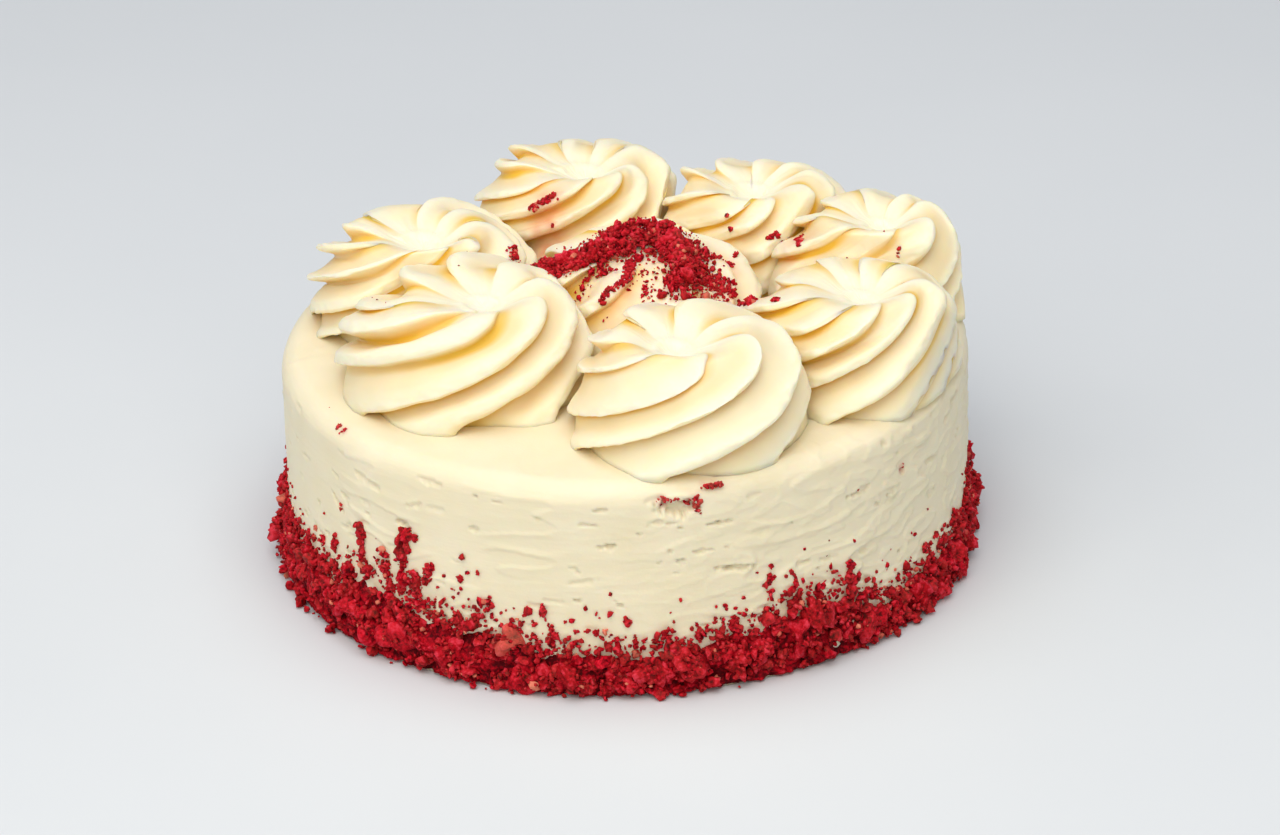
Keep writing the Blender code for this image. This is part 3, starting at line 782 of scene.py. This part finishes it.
def crumb_shapes(detail, seed):
    """Craggy crumb shapes of about unit radius, how far each of their points stands
    out as a crag, which sets the painted shade and highlight there, and the triangles
    that they share."""
    ball = bmesh.new()
    bmesh.ops.create_icosphere(ball, subdivisions=detail, radius=1.0)
    ball.verts.ensure_lookup_table()
    round_points = np.array([vertex.co[:] for vertex in ball.verts])
    faces = np.array([[vertex.index for vertex in face.verts] for face in ball.faces])
    ball.free()
    rng = np.random.default_rng(seed)
    shapes, crag_shadings = [], []
    for number in range(CRUMB_SHAPES):
        push = 1.0
        for height, width, first in CRAGS:
            push = push + height * lumps(round_points, width, number + first)
        push -= PORES[0] * np.abs(lumps(round_points, PORES[1], number + PORES[2]))
        shapes.append(round_points * push[:, None] * rng.uniform(*CRUMB_STRETCH, 3))
        crag_shadings.append(np.clip(0.5 + 0.9 * (push - push.mean()), 0.0, 1.0))
    return shapes, crag_shadings, faces


def turned_any_way(rng):
    """A rotation with every direction equally likely."""
    turn = Vector(rng.gauss(0.0, 1.0) for _ in range(3)).normalized()
    return np.array(Matrix.Rotation(rng.uniform(0.0, math.tau), 3, turn))


def scatter_crumbs(name, places, sizes, pales, material, keep=None):
    """One piece of many single crumbs, each with its place, radius and paleness."""
    detail, seed = CRUMB_PIECES[name]
    shapes, crag_shadings, shape_faces = crumb_shapes(detail, seed)
    rng = random.Random(seed)
    picks = [rng.randrange(CRUMB_SHAPES) for _ in sizes]
    points = [shapes[pick] @ turned_any_way(rng).T * size + place
              for pick, place, size in zip(picks, places, sizes)]
    corners = len(shapes[0])
    faces = shape_faces[None] + np.arange(len(points))[:, None, None] * corners
    tints = [rng.betavariate(2.0, 2.4) for _ in points]
    points = np.concatenate(points)
    if keep is not None:
        points = keep(points)
    make_piece(name, points, faces.reshape(-1, 3).tolist(), material,
               marks={"tint": np.repeat(tints, corners),
                      "crag_shading": np.concatenate([crag_shadings[pick] for pick in picks]),
                      "pale": np.repeat(pales, corners)})


FLOOR_CLEARANCE = 0.3 * MM
CRUMB_REACH = 97.4 * MM          # no crumb stands further out than this


def inside_the_foot(points):
    """Keep crumbs above the floor and within the skirt's reach."""
    points[:, 2] = np.maximum(points[:, 2], FLOOR_CLEARANCE)
    out = np.hypot(points[:, 0], points[:, 1])
    points[:, :2] *= np.minimum(1.0, CRUMB_REACH / out)[:, None]
    return points


def skirt_top(angle):
    """Height of the dense crumbs at those angles: it rises and falls in tongues."""
    around = points_round(CAKE_RADIUS, angle, 0.0)
    degrees, heights = np.array(SKIRT_TOP).T
    level = np.interp(np.degrees(angle), degrees, heights * MM, period=360.0)
    return level * (1.0 + 0.22 * lumps(around, 8.0 * MM, seed=62)
                    + 0.10 * lumps(around, 3.0 * MM, seed=64))


def side_spots(angle, level, proud):
    """Points that stand `proud` of the frosting at those angles and heights."""
    surface = frosting_point(angle, CAKE_RADIUS, level, math.pi / 2.0)
    return surface + points_round(proud, angle, 0.0)


PALE_CRUMBS = 0.035              # share of the crumbs that are pale
PALE = (0.4, 0.95)
HARDLY_PALE = (0.0, 0.08)


def paleness(rng, count):
    """Most crumbs are red; a few carry sugar or frosting."""
    few = rng.random(count) < PALE_CRUMBS
    return np.where(few, rng.uniform(*PALE, count), rng.uniform(*HARDLY_PALE, count))


PACKED_COLUMNS = 900
PACKED_ROWS = 26
PACKED_THICKNESS = 1.7 * MM
PACKED_HEIGHT = 0.80             # as a share of the skirt's
PACKED_INTO = 0.3 * MM           # how far they are pressed into the frosting
PACKED_EDGE = 2.0 * MM           # how deep in the frosting the layer's edges end


def make_packed_layer(material):
    """The crumbs pressed flat into the frosting behind the single ones."""
    angle = even_angles(PACKED_COLUMNS)
    share = np.linspace(0.0, 1.0, PACKED_ROWS)[:, None]
    level = FLOOR_CLEARANCE + (skirt_top(angle) * PACKED_HEIGHT - FLOOR_CLEARANCE) * (1.0 - share)
    base = points_round(CAKE_RADIUS, angle, level)
    rough = 0.9 * lumps(base, 5.0 * MM, seed=71) + 0.6 * lumps(base, 1.8 * MM, seed=72)
    rough += 0.4 * lumps(base, 1.0 * MM, seed=74)
    thick = PACKED_THICKNESS * smooth_step(0.0, 0.25, share)
    out = CAKE_RADIUS + thick * (1.0 + 0.8 * rough) - PACKED_INTO
    out[[0, -1]] = CAKE_RADIUS - PACKED_EDGE
    points = points_round(out, angle, level).reshape(-1, 3)
    column = np.arange(PACKED_COLUMNS)
    after = (column + 1) % PACKED_COLUMNS
    last_row = (PACKED_ROWS - 1) * PACKED_COLUMNS
    back = np.stack([last_row + column, column, after, last_row + after], axis=-1)
    faces = np.concatenate([ring_faces(PACKED_ROWS, PACKED_COLUMNS), back]).tolist()
    tint = np.clip(0.35 + 0.3 * lumps(points, 2.5 * MM, seed=73), 0.0, 1.0)
    # The crag mark gives the layer painted shade where its relief is low and a painted highlight
    # where it is high.
    crag_shading = np.clip(0.3 + 0.4 * rough.reshape(-1), 0.0, 0.8)
    make_piece("packed_foot_crumbs", points, faces, material,
               marks={"tint": tint, "crag_shading": crag_shading})


# From here on the radii of crumbs are in millimetres.
# Lumps of crumb pressed into the foot, each of them covered in grains
FOOT_LUMPS = 150
FOOT_LUMP_RADIUS = (2.0, 5.0)
FOOT_LUMP_PROUD = 0.9 * MM       # how far a lump's middle stands off the frosting
GRAIN_RADIUS = (0.40, 0.95)
GRAIN_SEAT = (0.80, 1.02)        # where a grain sits, in radii of its lump
# Single crumbs round the foot: name, how many, radii, how far up the skirt they reach,
# how many millimetres proud of the frosting they may stand
FOOT_CRUMBS = (
    ("foot_crumbs", 640, (1.0, 2.1), 0.95, 3.2),
    ("foot_crumb_bits", 2700, (0.45, 1.05), 1.22, 3.6),
)
# Fine crumbs above the skirt
STRAY_SPECKS = 1200
SPECK_RADIUS = (0.22, 0.70)
FEW_SPECKS_RADIUS = (0.7, 1.3)
FINE_SPECKS = 0.9                # share of the specks that are fine
SPECK_RISE = 3.4 * MM            # the height over which they thin out
SPECKS_BELOW = 40.0 * MM
# Little clusters that reach up the side
CLIMBING_TRAILS = 58
TRAIL_CRUMBS = (4, 20)
TRAIL_HEIGHT = (2.0 * MM, 7.5 * MM)
TRAIL_LEAN = 0.25
TRAIL_SPREAD = 0.9 * MM
TRAIL_RADIUS = (0.4, 1.2)
# Trails that show plainly: angle; from height, to height and spread in millimetres;
# how many; radii
PLAIN_TRAILS = (
    (-138.6, 21.0, 35.0, 0.9, 26, (0.6, 1.3)),
    (-146.5, 16.0, 27.5, 0.7, 18, (0.4, 1.1)),
    (-150.2, 17.0, 24.0, 0.5, 9, (0.4, 0.9)),
    (-133.3, 21.0, 30.5, 0.9, 18, (0.5, 1.2)),
    (-128.5, 33.0, 39.0, 1.3, 14, (0.7, 1.5)),
    (-126.6, 36.5, 37.5, 0.4, 3, (0.7, 1.0)),
    (-129.3, 20.0, 32.5, 1.1, 34, (0.6, 1.4)),
    (-127.0, 20.0, 27.0, 1.8, 22, (0.5, 1.3)),
    (-124.0, 25.0, 30.5, 1.1, 14, (0.6, 1.3)),
    (-118.5, 28.0, 29.5, 0.6, 4, (0.6, 1.1)),
    (-115.0, 30.5, 32.0, 0.3, 2, (0.6, 0.9)),
    (-113.0, 21.0, 28.0, 0.8, 10, (0.4, 1.0)),
    (-104.0, 22.0, 24.5, 0.6, 4, (0.6, 1.2)),
    (-90.5, 19.5, 22.0, 0.5, 3, (0.8, 1.5)),
    (-67.1, 23.0, 31.5, 0.7, 10, (0.5, 1.1)),
    (-63.1, 27.0, 29.0, 0.6, 3, (0.5, 0.9)),
    (-52.0, 20.0, 27.0, 1.1, 16, (0.5, 1.2)),
    (-32.5, 15.0, 19.0, 0.9, 7, (0.4, 0.9)),
)
SPREAD_SHARE = 0.6               # a normal spread that looks as wide as the one given


def between(rng, limits, count):
    """Random sizes in metres between two limits in millimetres."""
    return rng.uniform(limits[0] * MM, limits[1] * MM, count)


def mostly_small(rng, limits, count, power):
    """The same, with more small ones the higher the power."""
    small, large = (limit * MM for limit in limits)
    return small + (large - small) * rng.random(count) ** power


def spread_round(rng, count):
    """Angles right round the cake, one at random in each equal share."""
    return math.tau * (np.arange(count) + rng.random(count)) / count


def grains_on(rng, centres, sizes, outward):
    """Places of small grains over the outer side of each lump, about one for every two
    or three square millimetres that show."""
    places = []
    for centre, size, away in zip(centres, sizes, outward):
        count = int(4 + 2.6 * (size / MM) ** 1.6)
        turn = rng.normal(size=(count, 3)) + 0.9 * away
        turn /= np.linalg.norm(turn, axis=1)[:, None]
        places.append(centre + turn * size * rng.uniform(*GRAIN_SEAT, count)[:, None])
    return np.concatenate(places)


def make_foot_lumps(material):
    """The lumps pressed into the foot, and the grains that cover them."""
    rng = np.random.default_rng(PLACE_SEEDS["foot_crumb_lumps"])
    angle = spread_round(rng, FOOT_LUMPS)
    size = mostly_small(rng, FOOT_LUMP_RADIUS, FOOT_LUMPS, 2.0)
    room = np.maximum(skirt_top(angle) * 0.95 - size * 1.9, 0.0)
    level = size * 0.9 + room * rng.random(FOOT_LUMPS)
    centres = side_spots(angle, level, FOOT_LUMP_PROUD - size * 0.10)
    scatter_crumbs("foot_crumb_lumps", centres, size, paleness(rng, FOOT_LUMPS) * 0.5,
                   material, inside_the_foot)
    grains = grains_on(rng, centres, size, points_round(1.0, angle, 0.0))
    scatter_crumbs("foot_crumb_grains", grains, between(rng, GRAIN_RADIUS, len(grains)),
                   paleness(rng, len(grains)), material, inside_the_foot)


def make_foot_crumbs(material):
    """Single crumbs of two sizes, fewer and closer to the frosting further up."""
    for name, count, radii, reach, proud in FOOT_CRUMBS:
        rng = np.random.default_rng(PLACE_SEEDS[name])
        angle = spread_round(rng, count)
        size = mostly_small(rng, radii, count, 1.6)
        up = rng.random(count) ** 0.8
        level = np.maximum(size * 0.9, skirt_top(angle) * reach * up)
        stand = size * 0.2 + proud * MM * rng.random(count) * (1.0 - 0.75 * up)
        scatter_crumbs(name, side_spots(angle, level, stand), size, paleness(rng, count),
                       material, inside_the_foot)


def make_climbing_trails(material):
    """Clusters of crumbs that stick to the side above the skirt, one above another."""
    rng = np.random.default_rng(PLACE_SEEDS["climbing_crumbs"])
    angles, levels, sizes = [], [], []
    for trail in range(CLIMBING_TRAILS):
        count = rng.integers(*TRAIL_CRUMBS)
        middle = math.tau * (trail + rng.random()) / CLIMBING_TRAILS
        share = rng.random(count)
        rise = rng.uniform(*TRAIL_HEIGHT) * share
        lean = rng.normal(0.0, TRAIL_LEAN)
        aside = rise * lean + rng.normal(0.0, TRAIL_SPREAD, count) * (1.2 - share)
        angle = middle + aside / CAKE_RADIUS
        angles.append(angle)
        levels.append(skirt_top(angle) * 0.9 + rise)
        sizes.append(between(rng, TRAIL_RADIUS, count) * (1.1 - 0.5 * share))
    for degrees, low, high, spread, count, radii in PLAIN_TRAILS:
        aside = rng.normal(0.0, spread * MM * SPREAD_SHARE, count)
        angles.append(math.radians(degrees) + aside / CAKE_RADIUS)
        levels.append(between(rng, (low, high), count))
        sizes.append(between(rng, radii, count))
    angle, level, size = (np.concatenate(parts) for parts in (angles, levels, sizes))
    scatter_crumbs("climbing_crumbs", side_spots(angle, level, size * 0.3), size,
                   paleness(rng, len(angle)), material)


# Crumbs caught in the frosting above the skirt: angle; height, spread along and up in
# millimetres; how many; radii; how many millimetres out of the frosting
CAUGHT = (
    (-84.2, 54.0, 1.5, 0.35, 9, (0.4, 0.9), -0.6),
    (-82.6, 54.3, 1.6, 0.30, 8, (0.3, 0.6), -0.3),
    (-79.7, 52.9, 0.9, 0.80, 13, (0.4, 1.0), -0.3),
    (-79.0, 51.0, 0.7, 0.60, 6, (0.3, 0.7), 0.0),
    (-82.6, 51.2, 2.2, 0.80, 7, (0.3, 0.8), -1.6),
    (-144.2, 36.0, 0.7, 0.6, 4, (0.3, 0.6), 0.0),
    (-39.3, 44.8, 0.6, 0.6, 3, (0.3, 0.6), -0.2),
    (-50.0, 45.5, 0.4, 0.4, 2, (0.3, 0.5), 0.0),
    (-77.4, 56.6, 1.1, 0.25, 10, (0.35, 0.75), -0.3),
    (-75.7, 56.9, 0.9, 0.25, 12, (0.35, 0.85), -0.3),
)
# Crumbs caught where the top turns into the side: x, y and spread in millimetres, how
# many, radii
CAUGHT_ON_TOP = (
    (-72.0, -48.6, 0.8, 7, (0.30, 0.7)),
    (-70.9, -50.6, 0.7, 6, (0.30, 0.6)),
)
CAUGHT_SHADES = (0.0, 0.3)


def make_caught_crumbs(material):
    rng = np.random.default_rng(PLACE_SEEDS["caught_crumbs"])
    places, sizes = [], []
    for degrees, middle, along, up, count, radii, proud in CAUGHT:
        angle = math.radians(degrees) + rng.normal(0.0, along * MM, count) / CAKE_RADIUS
        level = middle * MM + rng.normal(0.0, up * MM, count)
        places.append(side_spots(angle, level, proud * MM))
        sizes.append(between(rng, radii, count))
    for x, y, spread, count, radii in CAUGHT_ON_TOP:
        aside = rng.normal(0.0, spread * MM * SPREAD_SHARE, (count, 2)) * np.array([1.0, 0.5])
        places.append(on_surface(np.array([x, y]) * MM + aside))
        sizes.append(between(rng, radii, count))
    place, size = np.concatenate(places), np.concatenate(sizes)
    scatter_crumbs("caught_crumbs", place, size, rng.uniform(*CAUGHT_SHADES, len(size)), material)


def make_stray_specks(material):
    """Fine crumbs that stick to the side above the skirt, fewer with height."""
    rng = np.random.default_rng(PLACE_SEEDS["side_specks"])
    angle = rng.uniform(-math.pi, math.pi, STRAY_SPECKS * 3)
    around = points_round(CAKE_RADIUS, angle, CAKE_RADIUS * 0.3)
    crowd = 0.5 + 0.8 * lumps(around, 7.0 * MM, seed=63)
    angle = angle[rng.random(len(angle)) < crowd][:STRAY_SPECKS]
    count = len(angle)
    level = skirt_top(angle) * 0.85 + rng.exponential(SPECK_RISE, count)
    size = np.where(rng.random(count) < FINE_SPECKS, between(rng, SPECK_RADIUS, count),
                    between(rng, FEW_SPECKS_RADIUS, count))
    low = level < SPECKS_BELOW
    angle, level, size = angle[low], level[low], size[low]
    scatter_crumbs("side_specks", side_spots(angle, level, size * 0.25), size,
                   paleness(rng, len(angle)), material)


# ------------------------------------------------------------- crumbs on the top

# The heap lies over the middle swirl along this line: x, y in millimetres
HEAP_PATH = ((-27.0, 7.0), (-20.0, 2.0), (-14.0, -4.0), (-8.0, -5.0), (-2.0, -1.5), (4.0, 4.0),
             (9.0, 5.0), (14.0, 0.0), (18.0, -7.0), (17.5, -13.0), (16.0, -19.0))
# Along that line: share of the way, half width and height of the pile in millimetres
HEAP_FORM = ((0.0, 1.6, 0.6), (0.12, 4.0, 2.2), (0.30, 5.6, 3.2), (0.45, 6.2, 4.8),
             (0.56, 6.2, 6.6), (0.75, 5.4, 4.6), (1.0, 4.0, 2.4))
HEAP_SLOPE = 0.9                 # how fast the pile falls off to its sides
HEAP_LUMPS = 46                  # lumps of crumb in the heap, covered in grains
HEAP_LUMP_RADIUS = (1.5, 3.0)
HEAP_LUMP_ASIDE = 0.62           # how far off the line they lie, in half widths
HEAP_LUMP_SEAT = (0.15, 0.75)    # how high in the pile they sit
HEAP_END_LUMPS = ((0.0, 0.15), (0.55, 1.0))   # the lumps are smaller where the heap starts
HEAP_FRONT = (0.0, -0.4, 0.9)    # the side of a lump that shows
# Single crumbs in the heap: name, how many, radii, spread
HEAP_CRUMBS = (
    ("top_crumbs", 620, (0.6, 1.3), 1.00),
    ("top_crumb_specks", 1900, (0.18, 0.55), 1.45),
)
HEAP_CRUMB_ASIDE = 0.55
# Crumbs strewn beside the heap: from x, y to x, y and spread in millimetres, how many,
# radii
STREWN = (
    (3.2, -8.0, 2.4, -16.4, 1.1, 110, (0.3, 0.9)),
    (2.4, -16.4, -4.8, -21.5, 0.9, 80, (0.3, 0.8)),
    (6.3, -13.0, 8.0, -21.0, 1.6, 55, (0.2, 0.7)),
    (-12.0, -13.0, -10.0, -14.0, 0.5, 5, (0.5, 1.0)),
    (21.0, -9.0, 29.0, -13.0, 3.4, 190, (0.3, 1.0)),
    (30.0, -20.0, 32.0, -23.0, 1.2, 26, (0.4, 1.0)),
    (33.4, -27.0, 33.8, -28.4, 0.9, 34, (0.6, 1.5)),
    (39.6, -36.0, 39.8, -38.0, 0.6, 9, (0.4, 0.9)),
    (24.4, -2.8, 29.7, 2.2, 0.7, 34, (0.3, 0.9)),
    (30.4, 5.0, 31.0, 6.4, 0.5, 7, (0.4, 0.8)),
    (28.6, 17.0, 29.6, 19.0, 0.7, 10, (0.5, 1.0)),
    (39.5, 15.0, 43.5, 15.6, 0.6, 20, (0.4, 0.9)),
    (47.8, 9.0, 47.2, -1.0, 0.7, 22, (0.4, 0.9)),
    (72.6, -5.6, 73.0, -6.4, 0.3, 3, (0.5, 0.8)),
    (-23.0, 29.0, -16.5, 31.5, 1.6, 70, (0.3, 0.9)),
    (-5.0, 12.0, 4.0, 16.0, 2.0, 50, (0.3, 0.9)),
    (-60.0, -30.0, 80.0, 40.0, 30.0, 16, (0.15, 0.35)),
)
RAY_START = CAKE_TOP + 60.0 * MM


def surface_below(places):
    """Height of the highest point of the cake at each place."""
    graph = bpy.context.evaluated_depsgraph_get()
    levels = []
    for x, y in places:
        start = Vector((x, y, RAY_START))
        hit, place, *_ = bpy.context.scene.ray_cast(graph, start, Vector((0.0, 0.0, -1.0)))
        levels.append(place.z if hit else CAKE_TOP)
    return np.array(levels)


def on_surface(places, above=0.0):
    """Those places with their height, so far above the cake's surface."""
    return np.column_stack([places, surface_below(places) + above])


def heap_spots(share, aside, spread=1.0):
    """Places along the heap and the height of the pile there; `aside` is how far off
    its line they are, in half widths."""
    path = np.array(HEAP_PATH) * MM
    lengths = np.concatenate([[0.0], np.cumsum(np.linalg.norm(np.diff(path, axis=0), axis=1))])
    line = np.column_stack([np.interp(share * lengths[-1], lengths, axis) for axis in path.T])
    along, wide, tall = np.array(HEAP_FORM).T
    place = line + aside * np.interp(share, along, wide * MM)[:, None] * spread
    slope = np.exp(-HEAP_SLOPE * np.sum(aside ** 2, axis=1))
    return place, np.interp(share, along, tall * MM) * slope


def heap_lumps():
    """The heap's lumps and their grains, as rows for scatter_crumbs."""
    rng = np.random.default_rng(PLACE_SEEDS["top_crumb_lumps"])
    share = (np.arange(HEAP_LUMPS) + rng.random(HEAP_LUMPS)) / HEAP_LUMPS
    aside = rng.uniform(-HEAP_LUMP_ASIDE, HEAP_LUMP_ASIDE, (HEAP_LUMPS, 2))
    place, pile = heap_spots(share, aside)
    size = between(rng, HEAP_LUMP_RADIUS, HEAP_LUMPS) * np.interp(share, *HEAP_END_LUMPS)
    centres = on_surface(place, pile * rng.uniform(*HEAP_LUMP_SEAT, HEAP_LUMPS))
    pales = paleness(rng, HEAP_LUMPS) * 0.5
    grains = grains_on(rng, centres, size * 1.03, np.tile(HEAP_FRONT, (HEAP_LUMPS, 1)))
    grain_sizes = between(rng, GRAIN_RADIUS, len(grains))
    return [("top_crumb_lumps", centres, size, pales),
            ("top_crumb_grains", grains, grain_sizes, paleness(rng, len(grains)))]


def heap_crumbs(name, count, radii, spread):
    """Single crumbs of one kind in the heap, as a row for scatter_crumbs."""
    rng = np.random.default_rng(PLACE_SEEDS[name])
    share = rng.random(count)
    place, pile = heap_spots(share, rng.normal(0.0, HEAP_CRUMB_ASIDE, (count, 2)), spread)
    size = between(rng, radii, count)
    level = surface_below(place) + size * 0.2 + pile * rng.random(count) ** 0.6
    return name, np.column_stack([place, level]), size, paleness(rng, count)


def strewn_crumbs():
    """The crumbs that fell beside the heap, as a row for scatter_crumbs."""
    rng = np.random.default_rng(PLACE_SEEDS["strewn_top_crumbs"])
    places, sizes = [], []
    for x, y, end_x, end_y, spread, count, radii in STREWN:
        start, end = np.array([x, y]) * MM, np.array([end_x, end_y]) * MM
        line = start + rng.random(count)[:, None] * (end - start)
        places.append(line + rng.normal(0.0, spread * MM * SPREAD_SHARE, (count, 2)))
        sizes.append(mostly_small(rng, radii, count, 1.5))
    place, size = np.concatenate(places), np.concatenate(sizes)
    return "strewn_top_crumbs", on_surface(place, size * 0.3), size, paleness(rng, len(size))


def make_top_crumbs(material):
    """The heap and what fell beside it, all laid on the swirls before any is made."""
    layers = [*heap_lumps(), *(heap_crumbs(*row) for row in HEAP_CRUMBS), strewn_crumbs()]
    for layer in layers:
        scatter_crumbs(*layer, material)


# ------------------------------------------------------------ camera and studio

PHOTO_WIDTH = 1280
FOCAL_LENGTH = 4990              # in the photo's pixels
LOOK_DOWN = math.radians(25.894)
ROLL = math.radians(-1.769)
LOOK_AT = Vector((4.43 * MM, 0.0, 33.56 * MM))
CAMERA_DISTANCE = 1.32
SENSOR = 36.0
SKY_COLOUR = "#FBFCFF"
SKY_STRENGTH = 0.34
# name: azimuth, elevation, distance, size, power, colour
SOFTBOXES = {
    "key_softbox": (-115.0, 48.0, 1.4, 1.1, 7.5, "#FFFBF2"),
    "front_softbox": (-80.0, 50.0, 1.5, 1.1, 7.2, "#FFFBF2"),
    "overhead_softbox": (0.0, 90.0, 1.5, 1.4, 9.8, "#F1F5FF"),
    "left_softbox": (-170.0, 35.0, 1.5, 1.0, 2.3, "#FFFFFF"),
}
FLOOR_SIZE = 8.0


def set_camera():
    lens = bpy.data.cameras.new("camera")
    lens.sensor_width = SENSOR
    lens.lens = FOCAL_LENGTH / PHOTO_WIDTH * SENSOR
    lens.clip_end = 20.0
    camera = bpy.data.objects.new("camera", lens)
    bpy.context.scene.collection.objects.link(camera)
    ahead = Vector((0.0, math.cos(LOOK_DOWN), -math.sin(LOOK_DOWN)))
    level = Vector((1.0, 0.0, 0.0))
    upright = Vector((0.0, math.sin(LOOK_DOWN), math.cos(LOOK_DOWN)))
    right = math.cos(ROLL) * level + math.sin(ROLL) * upright
    up = math.cos(ROLL) * upright - math.sin(ROLL) * level
    turn = Matrix((right, up, -ahead)).transposed()
    camera.matrix_world = Matrix.Translation(LOOK_AT - CAMERA_DISTANCE * ahead) @ turn.to_4x4()
    bpy.context.scene.camera = camera


def add_softbox(name, azimuth, elevation, distance, size, power, colour):
    """A square soft light that faces the cake."""
    light = bpy.data.lights.new(name, "AREA")
    light.shape = "SQUARE"
    light.size = size
    light.energy = power
    light.color = linear(colour)[:3]
    box = bpy.data.objects.new(name, light)
    bpy.context.scene.collection.objects.link(box)
    a, e = math.radians(azimuth), math.radians(elevation)
    away = Vector((math.cos(e) * math.cos(a), math.cos(e) * math.sin(a), math.sin(e)))
    box.location = LOOK_AT + away * distance
    box.rotation_mode = "QUATERNION"
    box.rotation_quaternion = away.to_track_quat("Z", "Y")


def set_studio():
    bpy.context.scene.view_settings.view_transform = "Standard"
    world = bpy.data.worlds.new("studio_air")
    world.use_nodes = True
    sky = world.node_tree.nodes["Background"]
    sky.inputs["Color"].default_value = linear(SKY_COLOUR)
    sky.inputs["Strength"].default_value = SKY_STRENGTH
    bpy.context.scene.world = world
    for name, settings in SOFTBOXES.items():
        add_softbox(name, *settings)


def lay_floor():
    bpy.ops.mesh.primitive_plane_add(size=FLOOR_SIZE, location=(0.0, 0.0, 0.0))
    floor = bpy.context.object
    floor.name = "floor"
    floor.data.materials.append(painted_board())


# ------------------------------------------------------------------ put together

frosting = cream_cheese_frosting()
buttercream = piped_buttercream()
crumb = red_velvet_crumb()

make_frosted_cake(frosting)
swirl_draws = random.Random(SWIRL_SEED)
for node in SWIRLS:
    make_swirl(node, buttercream, swirl_draws)
make_top_crumbs(crumb)
make_packed_layer(crumb)
make_foot_lumps(crumb)
make_foot_crumbs(crumb)
make_climbing_trails(crumb)
make_caught_crumbs(crumb)
make_stray_specks(crumb)

set_camera()
set_studio()
lay_floor()
